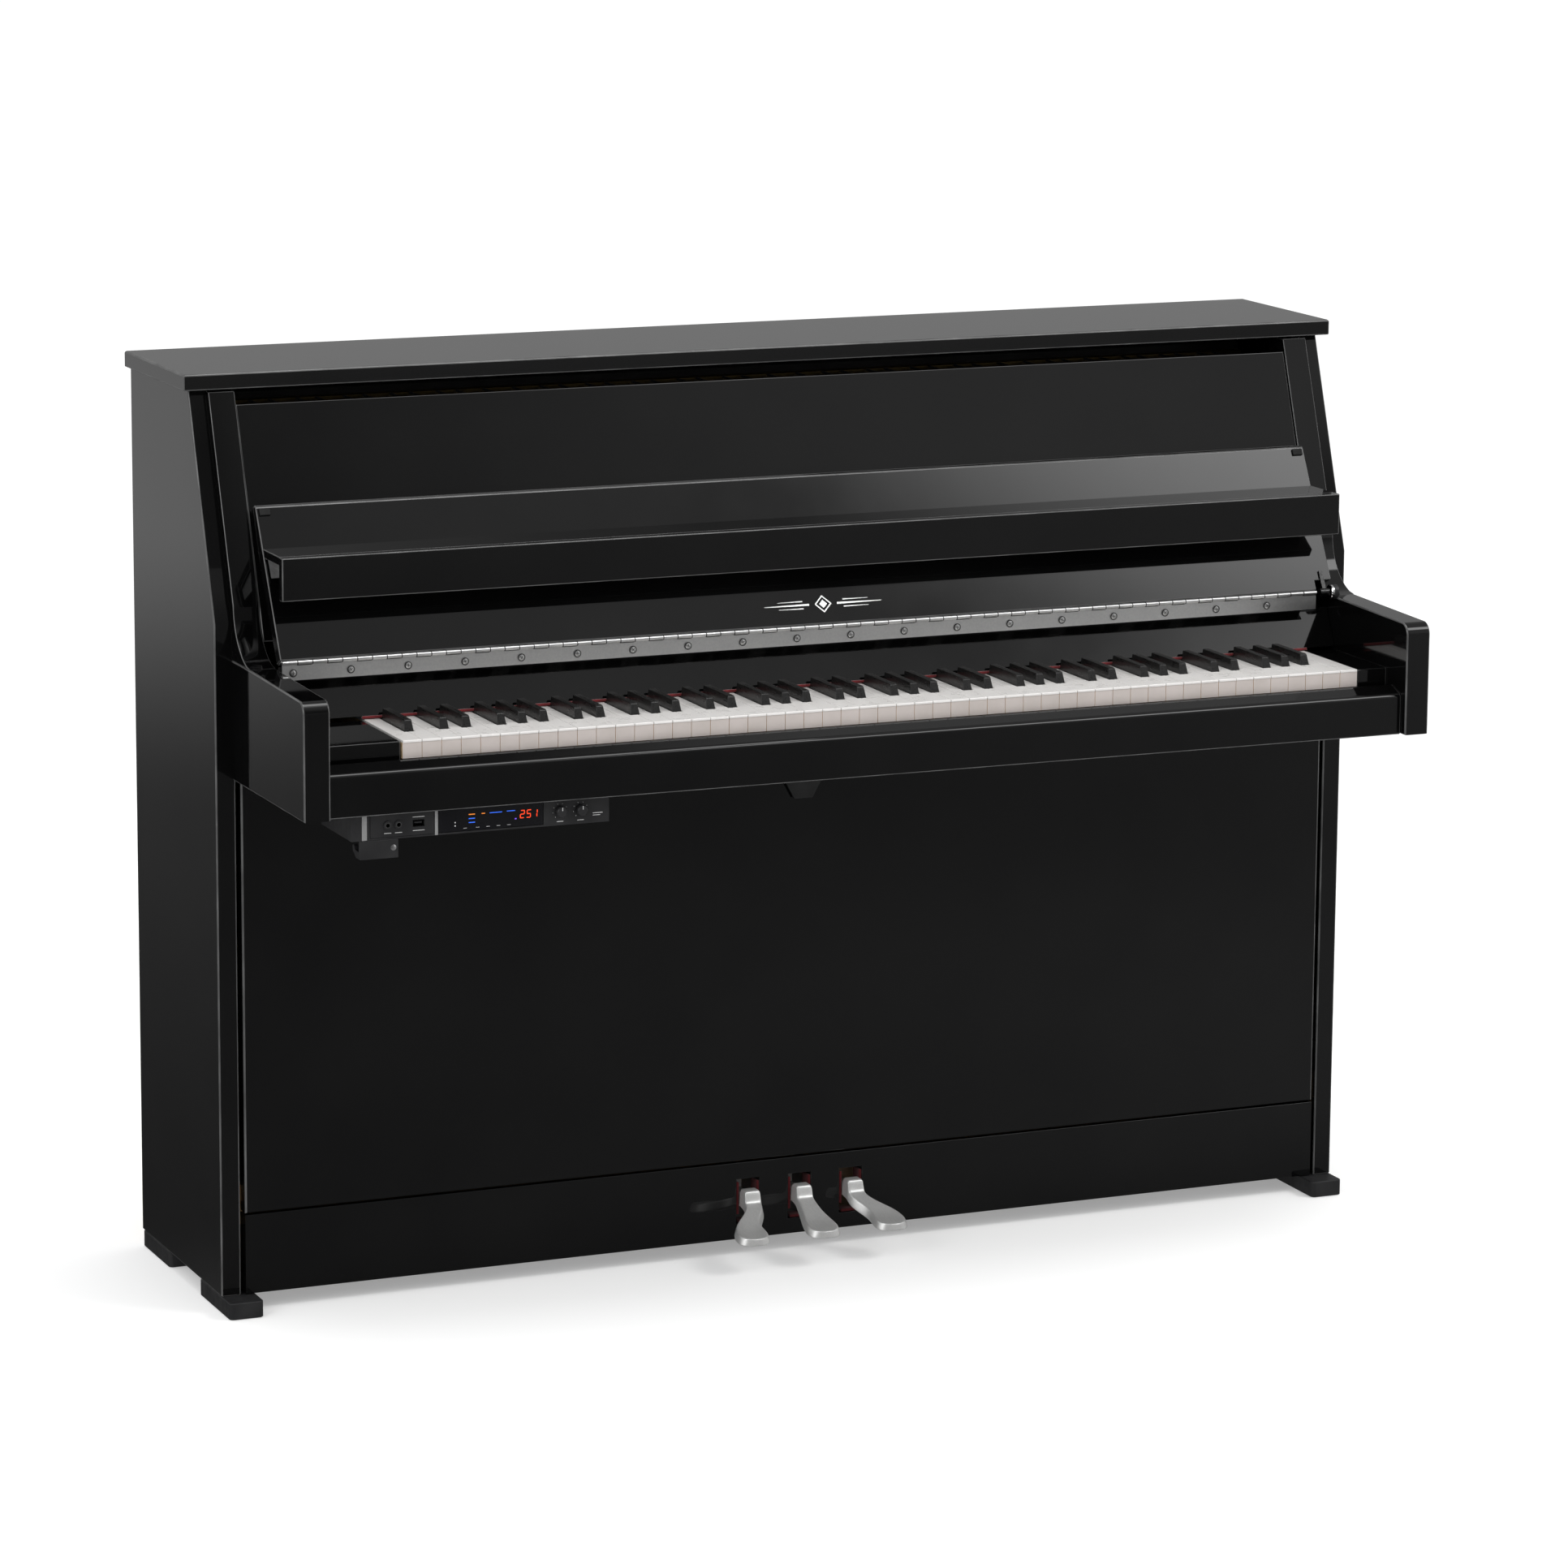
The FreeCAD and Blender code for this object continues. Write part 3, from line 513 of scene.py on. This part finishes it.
# ------------------------------------------------------------------ pedals ---
def pedal(node):
    lo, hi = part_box(node)
    # the lug sits over the pivot end, the toe is the wide front end
    lug = sum(v.co.x for v in N[node].data.vertices if v.co.y > B(300)) / max(1, sum(1 for v in N[node].data.vertices if v.co.y > B(300)))
    toe = (sum(v.co.x for v in N[node].data.vertices if v.co.y < B(399)) /
           max(1, sum(1 for v in N[node].data.vertices if v.co.y < B(399))))
    st = [  # depth, bottom, top, half width at the top, half width at the bottom, how far to the toe
        (149, 62.0, 72.0, 9.5, 10.0, 0), (152, 61.4, 72.4, 10.6, 10.8, 0), (205, 60.0, 72.4, 10.8, 11.0, 0),
        (296, 60.0, 72.6, 10.8, 11.0, 0), (308, 61.0, 75.0, 10.4, 11.0, 0), (314, 61.6, 80.6, 9.6, 11.0, 0),
        (316, 61.8, 84.0, 9.4, 11.0, 0), (319, 61.4, 84.0, 9.6, 11.0, 0), (328.5, 60.0, 84.0, 9.8, 11.3, .03),
        (331, 59.2, 82.8, 10.0, 11.6, .05), (333, 58.4, 74.0, 10.2, 11.8, .07), (335, 57.5, 69.6, 10.4, 12.1, .09),
        (341, 54.4, 66.6, 10.8, 12.8, .18), (349, 50.4, 62.6, 11.8, 14.0, .36),
        (359, 46.0, 58.0, 13.4, 16.0, .62), (370, 42.4, 54.0, 16.2, 18.4, .86), (381, 39.8, 51.0, 18.4, 20.3, .98),
        (390, 38.4, 49.0, 19.0, 20.9, 1), (397, 37.6, 47.6, 17.6, 19.6, 1), (402, 37.1, 46.6, 14.0, 16.2, 1),
        (405, 37.0, 46.0, 8.4, 10.6, 1), (405.9, 37.6, 45.2, 4.0, 5.4, 1)]
    bm = bmesh.new()
    rings = []
    for d, z0, z1, wt, wb, k in st:
        k = k * k * (3 - 2 * k)
        cx = lug + (toe - lug) * k
        r = min(2.4, (z1 - z0) * 0.3, wt * 0.4) / 1000.0
        z0, z1, wt, wb = z0 / 1000, z1 / 1000, wt / 1000, wb / 1000
        pts = []
        for sx, w, zc, a0 in ((1, wt, z1 - r, 0), (-1, wt, z1 - r, 90), (-1, wb, z0 + r * .6, 180), (1, wb, z0 + r * .6, 270)):
            rr = r if a0 < 180 else r * .6
            for i in range(5):
                t = math.radians(a0 + 22.5 * i)
                pts.append((cx + sx * (w - rr) + math.cos(t) * rr, B(d), zc + math.sin(t) * rr))
        rings.append([bm.verts.new(p) for p in pts])
    n = len(rings[0])
    for p, q in zip(rings, rings[1:]):
        for i in range(n):
            bm.faces.new([p[i], p[(i + 1) % n], q[(i + 1) % n], q[i]])
    bm.faces.new(rings[0])
    bm.faces.new(rings[-1])
    o = put(node + "_fine", bm, NODE_BODY[node], [PEDAL], 60.0, [node], weighted=False)
    s = o.modifiers.new("round", "SUBSURF")
    s.levels = s.render_levels = 2
    return o


for n in ("pedal_left", "pedal_middle", "pedal_right"):
    pedal(n)

# a felt pad behind each lug
bm = bmesh.new()
for n in ("pedal_left", "pedal_middle", "pedal_right"):
    lo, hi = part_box(n)
    vs = [v.co.x for v in N[n].data.vertices if v.co.y > B(300)]
    x = sum(vs) / len(vs)
    slab(bm, (x - 0.0112, B(314), 0.0402), (x + 0.0112, B(298), 0.0436), 0.8)
put("pedal_felt_pads", bm, "case", [PFELT_PAINTED_SHADE], 45.0)


# dark rail closing the slot between the nameboard and the foot of the upper panel
bm = bmesh.new()
slab(bm, (-0.678, B(349.4), 0.7570), (0.678, B(325.0), 0.7618), 0.8)
slab(bm, (-0.678, B(325.2), 0.7570), (0.678, B(320.0), 0.7928), 0.8)
put("action_cover_rail", bm, "case", [EBONY], 35.0)


# ---------------------------------------------------------- fallboard trim ---
HY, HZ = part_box("fallboard_damper"), None
AX_Y = (HY[0].y + HY[1].y) / 2          # hinge axis, from the damper drum round it
AX_Z = (HY[0].z + HY[1].z) / 2
DRUM_X0, DRUM_X1 = HY[0].x, HY[1].x
LEAN = math.radians(62.1)
U = Vector((0, math.cos(LEAN), math.sin(LEAN)))     # up along the open fallboard
W = Vector((0, math.sin(LEAN), -math.cos(LEAN)))    # through it, to the back


def F(x, s, t):
    return Vector((x, AX_Y, AX_Z)) + U * s + W * t


def board_poly(bm, pts, t0, t1, mat=0):
    """A flat plate of (x, s) points on the fallboard's face, from depth t0 to t1, metres."""
    a = [bm.verts.new(F(x, s, t0)) for x, s in pts]
    b = [bm.verts.new(F(x, s, t1)) for x, s in pts]
    bm.faces.new(a).material_index = mat
    bm.faces.new(list(reversed(b))).material_index = mat
    for i in range(len(a)):
        j = (i + 1) % len(a)
        bm.faces.new([a[i], b[i], b[j], a[j]]).material_index = mat


bm = bmesh.new()
S0 = 0.028
for sx in (-1, 1):
    board_poly(bm, [(sx * 0.018, S0 - 0.0013), (sx * 0.074, S0 - 0.0004), (sx * 0.0765, S0), (sx * 0.074, S0 + 0.0004), (sx * 0.018, S0 + 0.0013)],
               -0.00022, 0.0002)
    board_poly(bm, [(sx * 0.026, S0 - 0.0052), (sx * 0.058, S0 - 0.0046), (sx * 0.0588, S0 - 0.0042), (sx * 0.026, S0 - 0.0038)], -0.00022, 0.0002)
    board_poly(bm, [(sx * 0.026, S0 + 0.0052), (sx * 0.058, S0 + 0.0046), (sx * 0.0588, S0 + 0.0042), (sx * 0.026, S0 + 0.0038)], -0.00022, 0.0002)
for r0, r1 in ((0.0110, 0.0088), (0.0052, 0.0)):
    if r1:
        for q in range(4):
            t0, t1 = math.radians(90 * q), math.radians(90 * q + 90)
            c0, s0, c1, s1 = math.cos(t0), math.sin(t0), math.cos(t1), math.sin(t1)
            board_poly(bm, [(r0 * c0, S0 + r0 * s0), (r0 * c1, S0 + r0 * s1), (r1 * c1, S0 + r1 * s1), (r1 * c0, S0 + r1 * s0)], -0.00022, 0.0002)
    else:
        board_poly(bm, [(r0, S0), (0, S0 + r0), (-r0, S0), (0, S0 - r0)], -0.00022, 0.0002)
put("fallboard_inlay", bm, "fallboard", [SILVER], 30.0, weighted=False)

refine("fallboard_bumpers", 0.8, 3)
refine("fallboard_lever", 0.8, 3, mats=[SHELL])

# hinge: CAD leaves and knuckles stay, the screws get domed, slotted heads
bm = bmesh.new()
lo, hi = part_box("fallboard_hinge_lower")
for i in range(19):
    x = lo.x + 0.013 + i * 0.06955
    y = B(389.52)
    lathe(bm, (x, y + 0.0004, 0.772), (0, -1, 0), [(0, 0.0036), (0.0005, 0.0035), (0.0009, 0.0026), (0.0011, 0.0012), (0.0011, 0.0)], 20)
    # a black ring round each head: painted shade where the head meets the leaf
    ring = []
    for r, d in ((0.0036, 0.0008), (0.0046, 0.0003)):
        ring.append([bm.verts.new((x + r * math.cos(k * math.pi / 12), y - d + 0.0003, 0.772 + r * math.sin(k * math.pi / 12))) for k in range(24)])
    for k in range(24):
        bm.faces.new([ring[0][k], ring[1][k], ring[1][(k + 1) % 24], ring[0][(k + 1) % 24]]).material_index = 1
    # the slot is a black bar laid on the dome, not cut in: painted shade
    for a in (i * 37.0 % 90, i * 37.0 % 90 + 90):
        c, s = math.cos(math.radians(a)), math.sin(math.radians(a))
        q = [Vector((x + u * c - w * s, y - 0.00072, 0.772 + u * s + w * c)) for u, w in
             ((-0.0022, -0.0003), (0.0022, -0.0003), (0.0022, 0.0003), (-0.0022, 0.0003))]
        f0 = [bm.verts.new(p) for p in q]
        f1 = [bm.verts.new(p + Vector((0, 0.0006, 0))) for p in q]
        bm.faces.new(f0).material_index = 1
        for k in range(4):
            bm.faces.new([f0[k], f1[k], f1[(k + 1) % 4], f0[(k + 1) % 4]]).material_index = 1
put("hinge_screw_heads", bm, "case", [HINGE, LATCH], 30.0, weighted=False)

# dark joint between neighbouring knuckles
bm = bmesh.new()
for i in range(1, 74):
    x = -0.678 + i * (0.655 + 0.678) / 74
    lathe(bm, (x - 0.00055, B(389.0), 0.784), (1, 0, 0), [(0, 0.0), (0, 0.00262), (0.0011, 0.00262), (0.0011, 0.0)], 20)
put("hinge_knuckle_washers", bm, "case", [LATCH], 30.0, weighted=False)

# damper drum with a bright cap, and its round foot on the arm
bm = bmesh.new()
L = DRUM_X1 - DRUM_X0
lathe(bm, (DRUM_X1, AX_Y, AX_Z), (-1, 0, 0), [(0, 0.0), (0, 0.009), (L * 0.55, 0.009), (L * 0.60, 0.0084)], 40, 0)
lathe(bm, (DRUM_X1, AX_Y, AX_Z), (-1, 0, 0), [(L * 0.60, 0.0084), (L * 0.62, 0.0088), (L * 0.9, 0.0088), (L * 0.985, 0.0080), (L, 0.0066), (L * 0.96, 0.0050),
                                            (L * 0.96, 0.0)], 40, 1)
put("fallboard_damper_fine", bm, "case", [UNIT, CHROME], 35.0, ["fallboard_damper"])


# ------------------------------------------------------------- silent unit ---
refine("silent_unit", 0.9, 3)
refine("silent_display", 0.5, 2)
refine("silent_sockets", 0.4, 2)
ulo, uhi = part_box("silent_unit")
dlo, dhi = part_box("silent_display")
slo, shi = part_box("silent_sockets")

# end bars and printed marks on the housing's face
bm = bmesh.new()
fy = ulo.y
for x0, x1, z0, z1 in ((slo.x - 0.0100, slo.x - 0.0040, ulo.z + 0.0005, uhi.z - 0.0015), (shi.x + 0.0010, shi.x + 0.0045, ulo.z + 0.0005, uhi.z - 0.0015)):
    slab(bm, (x0, fy - 0.0006, z0), (x1, fy + 0.0002, z1), 0.2, 1)
put("unit_end_bars", bm, "case", [plastic("unit_bar_grey", (0.16, 0.16, 0.16), (0.22, 0.22, 0.22), 0.25, 0.35)], 40.0)

bm = bmesh.new()


def mark(x0, x1, z0, z1, y, mat=0, th=0.00012):
    slab(bm, (x0, y - th, z0), (x1, y + 0.00005, z1), 0, 1, mat)


kx = [(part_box(n)[0].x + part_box(n)[1].x) / 2 for n in ("silent_knob_volume", "silent_knob_balance")]
kz = (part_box("silent_knob_volume")[0].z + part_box("silent_knob_volume")[1].z) / 2
for x in kx:
    for a in range(-140, 141, 40):
        t = math.radians(90 - a)
        cx, cz = x + math.cos(t) * 0.0088, kz + math.sin(t) * 0.0088
        mark(cx - 0.0003, cx + 0.0003, cz - 0.0003, cz + 0.0003, fy)
    mark(x - 0.004, x + 0.004, kz - 0.0123, kz - 0.0117, fy)
mark(uhi.x - 0.020, uhi.x - 0.008, kz - 0.0055, kz - 0.0048, fy)
mark(uhi.x - 0.020, uhi.x - 0.011, kz - 0.0080, kz - 0.0074, fy)
for x in (-0.607, -0.594):
    mark(x - 0.0042, x + 0.0042, slo.z + 0.0042, slo.z + 0.0048, slo.y + 0.0016)
mark(-0.577, -0.563, slo.z + 0.0050, slo.z + 0.0056, slo.y + 0.0016)
mark(-0.577, -0.563, shi.z - 0.0056, shi.z - 0.0050, slo.y + 0.0016)
put("unit_marks", bm, "case", [PRINT], 30.0, weighted=False)

# jack liners and the data port's shell
bm = bmesh.new()
for x in (-0.607, -0.594):
    lathe(bm, (x, slo.y + 0.0003, 0.621), (0, 1, 0), [(0.0, 0.0032), (0.0, 0.0024), (0.010, 0.0024)], 28)
put("jack_liners", bm, "case", [metal("jack_metal", (0.25, 0.25, 0.25), (0.35, 0.35, 0.35), 0.25, 0.35)], 35.0, weighted=False)
bm = bmesh.new()
for x0, x1, z0, z1 in ((-0.5768, -0.5762, 0.6172, 0.6248), (-0.5638, -0.5632, 0.6172, 0.6248), (-0.5768, -0.5632, 0.6172, 0.6177), (-0.5768, -0.5632, 0.6243, 0.6248)):
    slab(bm, (x0, B(544.8), z0), (x1, B(530), z1), 0.1, 1, 0)
slab(bm, (-0.5745, B(543.5), 0.6205), (-0.5655, B(531), 0.6225), 0.2, 1, 1)
put("port_shell", bm, "case", [SHELL, UNIT], 35.0)

# lamps and digits behind the display's gloss
bm = bmesh.new()
DY = dlo.y


def lamp(cx, cz, w, h, mat):
    slab(bm, (cx - w / 2, DY - 0.00010, cz - h / 2), (cx + w / 2, DY + 0.00005, cz + h / 2), 0, 1, mat)


SEG = {"0": "abcdef", "1": "bc", "2": "abged", "5": "afgcd", "3": "abgcd", "8": "abcdefg"}


def digit(ch, cx, cz, h, mat):
    w, t = h * 0.52, h * 0.13
    place = {"a": (0, h / 2, w, t), "g": (0, 0, w, t), "d": (0, -h / 2, w, t), "b": (w / 2, h / 4, t, h / 2 - t * .6),
             "c": (w / 2, -h / 4, t, h / 2 - t * .6), "f": (-w / 2, h / 4, t, h / 2 - t * .6), "e": (-w / 2, -h / 4, t, h / 2 - t * .6)}
    for s in SEG[ch]:
        dx, dz, ww, hh = place[s]
        lamp(cx + dx + dz * 0.12, cz + dz, ww, hh, mat)


dm = dhi.z - 0.0105
DW = dhi.x - dlo.x
for i, ch in enumerate("251"):
    digit(ch, dlo.x + DW * (0.80 + i * 0.062), dm - 0.0015, 0.0085, 0)
lamp(dlo.x + DW * 0.315, dm + 0.0030, 0.0075, 0.0011, 1)
lamp(dlo.x + DW * 0.315, dm - 0.0018, 0.0075, 0.0011, 2)
lamp(dlo.x + DW * 0.315, dm - 0.0064, 0.0075, 0.0011, 2)
lamp(dlo.x + DW * 0.425, dm + 0.0030, 0.0040, 0.0011, 1)
lamp(dlo.x + DW * 0.545, dm + 0.0030, 0.0150, 0.0009, 2)
lamp(dlo.x + DW * 0.690, dm + 0.0034, 0.0100, 0.0009, 2)
lamp(dlo.x + DW * 0.735, dm - 0.0062, 0.0022, 0.0014, 3)
for x in (0.06, 0.12):
    pass
lamp(dlo.x + DW * 0.155, dm - 0.0052, 0.0014, 0.0014, 4)
lamp(dlo.x + DW * 0.155, dm - 0.0090, 0.0014, 0.0014, 4)
for k in (0.25, 0.37, 0.47, 0.57, 0.67):
    lamp(dlo.x + DW * k, dlo.z + 0.0030, 0.0042, 0.0004, 4)
put("display_lamps", bm, "case", [LED_RED, LED_AMBER, LED_BLUE, LED_VIOLET, PRINT], 30.0, weighted=False)


def knob(node):
    lo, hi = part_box(node)
    c = (lo + hi) / 2
    bm = bmesh.new()
    a = Vector((0, 1, 0))
    n, r = 48, (hi.x - lo.x) / 2
    rings = []
    for s, q in ((0.0, 0.55), (0.0, 0.80), (0.0006, 0.93), (0.0016, 1.0), (0.0074, 1.0), (0.0079, 0.97), (0.0080, 0.60)):
        ring = []
        for k in range(n):
            t = 2 * math.pi * k / n
            rr = r * q * (1 - (0.035 if (k % 2 and 0.9 < q) else 0))
            ring.append(bm.verts.new((c.x + math.cos(t) * rr, lo.y + s, c.z + math.sin(t) * rr)))
        rings.append(ring)
    for p, q in zip(rings, rings[1:]):
        for k in range(n):
            bm.faces.new([p[k], p[(k + 1) % n], q[(k + 1) % n], q[k]])
    bm.faces.new(rings[0])
    bm.faces.new(rings[-1])
    lathe(bm, (c.x, lo.y + 0.008, c.z), (0, 1, 0), [(0, 0.0031), (0.0095, 0.0031), (0.0095, 0)], 20)
    slab(bm, (c.x - 0.00035, lo.y - 0.00008, c.z + r * 0.25), (c.x + 0.00035, lo.y + 0.0007, c.z + r * 0.86), 0, 1, 1)
    put(node + "_fine", bm, NODE_BODY[node], [UNIT, PRINT], 35.0, [node], weighted=False)


knob("silent_knob_volume")
knob("silent_knob_balance")

# screw at the right of the headphone hook
hlo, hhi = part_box("headphone_hook")
bm = bmesh.new()
lathe(bm, (hhi.x - 0.006, hlo.y, hlo.z + 0.012), (0, -1, 0), [(-0.0006, 0.0034), (0.0, 0.0034), (0.00045, 0.0024), (0.0006, 0.0)], 24)
put("hook_screw", bm, "case", [CHROME], 35.0, weighted=False)

# screws of the rest's brackets
bm = bmesh.new()
for sx in (-1, 1):
    for d, z in ((385, 0.8895), (352, 0.8895)):
        lathe(bm, (sx * 0.6728, B(d), z), (-sx, 0, 0), [(0.0, 0.0026), (0.0006, 0.0022), (0.0009, 0.0)], 18)
put("rest_bracket_screws", bm, "music_rest", [HINGE], 35.0, weighted=False)

# bolts through the back posts, coach heads with washers
bm = bmesh.new()
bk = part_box("back_frame")[1].y
for x in (-0.600, -0.200, 0.200, 0.600):
    for z in (0.085, 0.985):
        lathe(bm, (x, bk - 0.0002, z), (0, 1, 0), [(0, 0.0130), (0.0008, 0.0130), (0.0009, 0.0088), (0.0022, 0.0070), (0.0030, 0.0036), (0.0032, 0)], 28)
put("back_bolts", bm, "case", [HINGE], 35.0, weighted=False)
bm = bmesh.new()
for sx in (-1, 1):
    for x in (0.07, 0.33, 0.50):
        for z in (0.031, 0.050, 1.024, 1.062):
            lathe(bm, (sx * x, bk - 0.0041, z), (0, 1, 0), [(0, 0.0046), (0.0006, 0.0042), (0.0009, 0.0)], 18)
put("back_screws", bm, "case", [HINGE], 35.0, weighted=False)

# ---------------------------------------------------------- camera, staging ---
F_PX, AZ, EL, ROLL, CX, CY, CZ, PX, PY = 7257.78, -0.4058819, 0.1869357, 0.0067209, -2759.26, -6396.25, 2006.45, 966.0, 850.0
cam = bpy.data.cameras.new("camera")
cam_o = bpy.data.objects.new("camera", cam)
bpy.context.scene.collection.objects.link(cam_o)
back = Vector((math.sin(AZ) * math.cos(EL), -math.cos(AZ) * math.cos(EL), math.sin(EL)))
right = (-back).cross(Vector((0, 0, 1))).normalized()
up = right.cross(-back)
c, s = math.cos(ROLL), math.sin(ROLL)
r2, u2 = right * c + up * s, -right * s + up * c
rot = Matrix((r2, u2, back)).transposed()
cam_o.matrix_world = Matrix.Translation(Vector((CX, CY, CZ)) / 1000.0) @ rot.to_4x4()
cam.sensor_width = 36.0
cam.lens = F_PX / 1932.0 * 36.0
cam.shift_x = (966.0 - PX) / 1932.0
cam.shift_y = (PY - 966.0) / 1932.0
cam.clip_start, cam.clip_end = 0.1, 500.0
cam.dof.use_dof = False
bpy.context.scene.camera = cam_o
bpy.context.scene.view_settings.view_transform = "Standard"
bpy.context.scene.view_settings.look = "None"

# plain pale floor; in polished surfaces it shows a painted reflection that falls off to dark near the piano, painted
# shade under and around it
fl = bpy.data.materials.new("studio_floor")
fl.use_nodes = True
nt = fl.node_tree
nt.nodes.clear()
out = nt.nodes.new("ShaderNodeOutputMaterial")
dif = nt.nodes.new("ShaderNodeBsdfDiffuse")
dif.inputs["Color"].default_value = (0.80, 0.80, 0.80, 1)
em = nt.nodes.new("ShaderNodeEmission")
add = nt.nodes.new("ShaderNodeAddShader")
em.inputs["Color"].default_value = (1, 1, 1, 1)
em.inputs["Strength"].default_value = 0.30
nt.links.new(dif.outputs[0], add.inputs[0])
nt.links.new(em.outputs[0], add.inputs[1])
geo = nt.nodes.new("ShaderNodeNewGeometry")
dist = nt.nodes.new("ShaderNodeVectorMath")
dist.operation = "LENGTH"
nt.links.new(geo.outputs["Position"], dist.inputs[0])
sep = nt.nodes.new("ShaderNodeSeparateXYZ")
nt.links.new(geo.outputs["Position"], sep.inputs[0])


def fstep(v, a, b, lo, hi):
    n = nt.nodes.new("ShaderNodeMapRange")
    n.interpolation_type = "SMOOTHSTEP"
    for k, x in (("From Min", a), ("From Max", b), ("To Min", lo), ("To Max", hi)):
        n.inputs[k].default_value = x
    nt.links.new(v, n.inputs["Value"])
    return n.outputs["Result"]


def fmath(op, a, b):
    n = nt.nodes.new("ShaderNodeMath")
    n.operation = op
    nt.links.new(a, n.inputs[0])
    nt.links.new(b, n.inputs[1])
    return n.outputs[0]


D, X, Y = dist.outputs["Value"], sep.outputs["X"], sep.outputs["Y"]
# painted reflection, seen only by glossy rays: behind the piano dark close by as painted shade and brighter far off; in
# front brighter close by and to the right
behind = fmath("MULTIPLY", fstep(Y, -0.4, 0.4, 0.0, 1.0),
               fmath("ADD", fstep(D, 3.0, 6.2, 0.0, 0.40), fstep(D, 0.6, 3.4, 0.045, 0.10)))
before = fmath("MULTIPLY", fstep(Y, -0.4, 0.4, 1.0, 0.0),
               fmath("MULTIPLY", fstep(X, -0.8, 3.2, 0.08, 0.26), fstep(D, 1.0, 3.0, 1.7, 1.0)))
painted_reflection_level = fmath("ADD", behind, before)
dark = nt.nodes.new("ShaderNodeEmission")
nt.links.new(painted_reflection_level, dark.inputs["Strength"])
lp = nt.nodes.new("ShaderNodeLightPath")
mx = nt.nodes.new("ShaderNodeMixShader")
nt.links.new(lp.outputs["Is Glossy Ray"], mx.inputs["Fac"])
nt.links.new(add.outputs[0], mx.inputs[1])
nt.links.new(dark.outputs[0], mx.inputs[2])
nt.links.new(mx.outputs[0], out.inputs["Surface"])
bm = bmesh.new()
bmesh.ops.create_grid(bm, x_segments=4, y_segments=4, size=150.0)
me = bpy.data.meshes.new("floor")
bm.to_mesh(me)
bm.free()
me.materials.append(fl)
floor = bpy.data.objects.new("floor", me)
floor.location = (0, 0, -0.0005)
bpy.context.scene.collection.objects.link(floor)
floor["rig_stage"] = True

# soft surroundings: pale overall, brighter towards a big softbox at the front right
world = bpy.data.worlds.new("studio")
bpy.context.scene.world = world
world.use_nodes = True
wt = world.node_tree
wt.nodes.clear()
wo = wt.nodes.new("ShaderNodeOutputWorld")
tc = wt.nodes.new("ShaderNodeTexCoord")


def wmath(op, a, b=None, **kw):
    n = wt.nodes.new("ShaderNodeMath")
    n.operation = op
    for i, v in enumerate((a, b)):
        if v is None:
            continue
        if isinstance(v, (int, float)):
            n.inputs[i].default_value = v
        else:
            wt.links.new(v, n.inputs[i])
    return n.outputs[0]


def wdot(d):
    n = wt.nodes.new("ShaderNodeVectorMath")
    n.operation = "DOT_PRODUCT"
    wt.links.new(tc.outputs["Generated"], n.inputs[0])
    n.inputs[1].default_value = Vector(d).normalized()
    return n.outputs["Value"]


def wstep(v, a, b, lo, hi):
    n = wt.nodes.new("ShaderNodeMapRange")
    n.interpolation_type = "SMOOTHSTEP"
    for k, x in (("From Min", a), ("From Max", b), ("To Min", lo), ("To Max", hi)):
        n.inputs[k].default_value = x
    wt.links.new(v, n.inputs["Value"])
    return n.outputs["Result"]


box_glow = wstep(wdot((0.5213, -0.4777, 0.7071)), 0.9770, 0.9900, 0.0, 4.4)
back = wstep(wdot((0, -1, 0)), -0.3, 0.3, 0.33, 0.0)
front = wmath("MULTIPLY", wstep(wdot((0, -1, 0)), -0.3, 0.3, 0.0, 1.0), wstep(wdot((1, 0, 0.35)), 0.40, 0.56, 0.10, 0.47))
overhead = wstep(wdot((0, -0.25, 0.97)), 0.90, 0.985, 0.0, 2.4)
leftg = wstep(wdot((-0.95, -0.25, 0.22)), 0.88, 0.99, 0.0, 1.2)
gl = wmath("ADD", wmath("ADD", box_glow, wmath("ADD", back, front)), wmath("ADD", leftg, overhead))
plain = wt.nodes.new("ShaderNodeBackground")
plain.inputs["Color"].default_value = (1, 1, 1, 1)
plain.inputs["Strength"].default_value = 0.94
refl = wt.nodes.new("ShaderNodeBackground")
refl.inputs["Color"].default_value = (1, 1, 1, 1)
wt.links.new(gl, refl.inputs["Strength"])
wlp = wt.nodes.new("ShaderNodeLightPath")
wm = wt.nodes.new("ShaderNodeMixShader")
wt.links.new(wlp.outputs["Is Glossy Ray"], wm.inputs["Fac"])
wt.links.new(plain.outputs[0], wm.inputs[1])
wt.links.new(refl.outputs[0], wm.inputs[2])
wt.links.new(wm.outputs[0], wo.inputs["Surface"])


def area(name, loc, target, size, power, col=(1, 1, 1), glossy=True):
    l = bpy.data.lights.new(name, "AREA")
    l.shape = "RECTANGLE"
    l.size, l.size_y = size
    l.energy = power
    l.color = col
    o = bpy.data.objects.new(name, l)
    o.location = loc
    o.rotation_euler = (Vector(target) - Vector(loc)).to_track_quat("-Z", "Y").to_euler()
    o.visible_glossy = glossy
    bpy.context.scene.collection.objects.link(o)


area("key_light", (3.3, -2.5, 4.2), (0, 0, 0.6), (2.0, 1.6), 84.0, (1, 0.995, 0.98), False)
area("fill_light", (-3.9, -2.2, 2.4), (0, 0, 0.6), (2.0, 1.6), 34.0, (0.98, 0.99, 1), True)
area("top_light", (0, -0.5, 4.4), (0, 0, 0.5), (3.0, 1.4), 40.0, (1, 1, 1), True)

lo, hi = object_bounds()
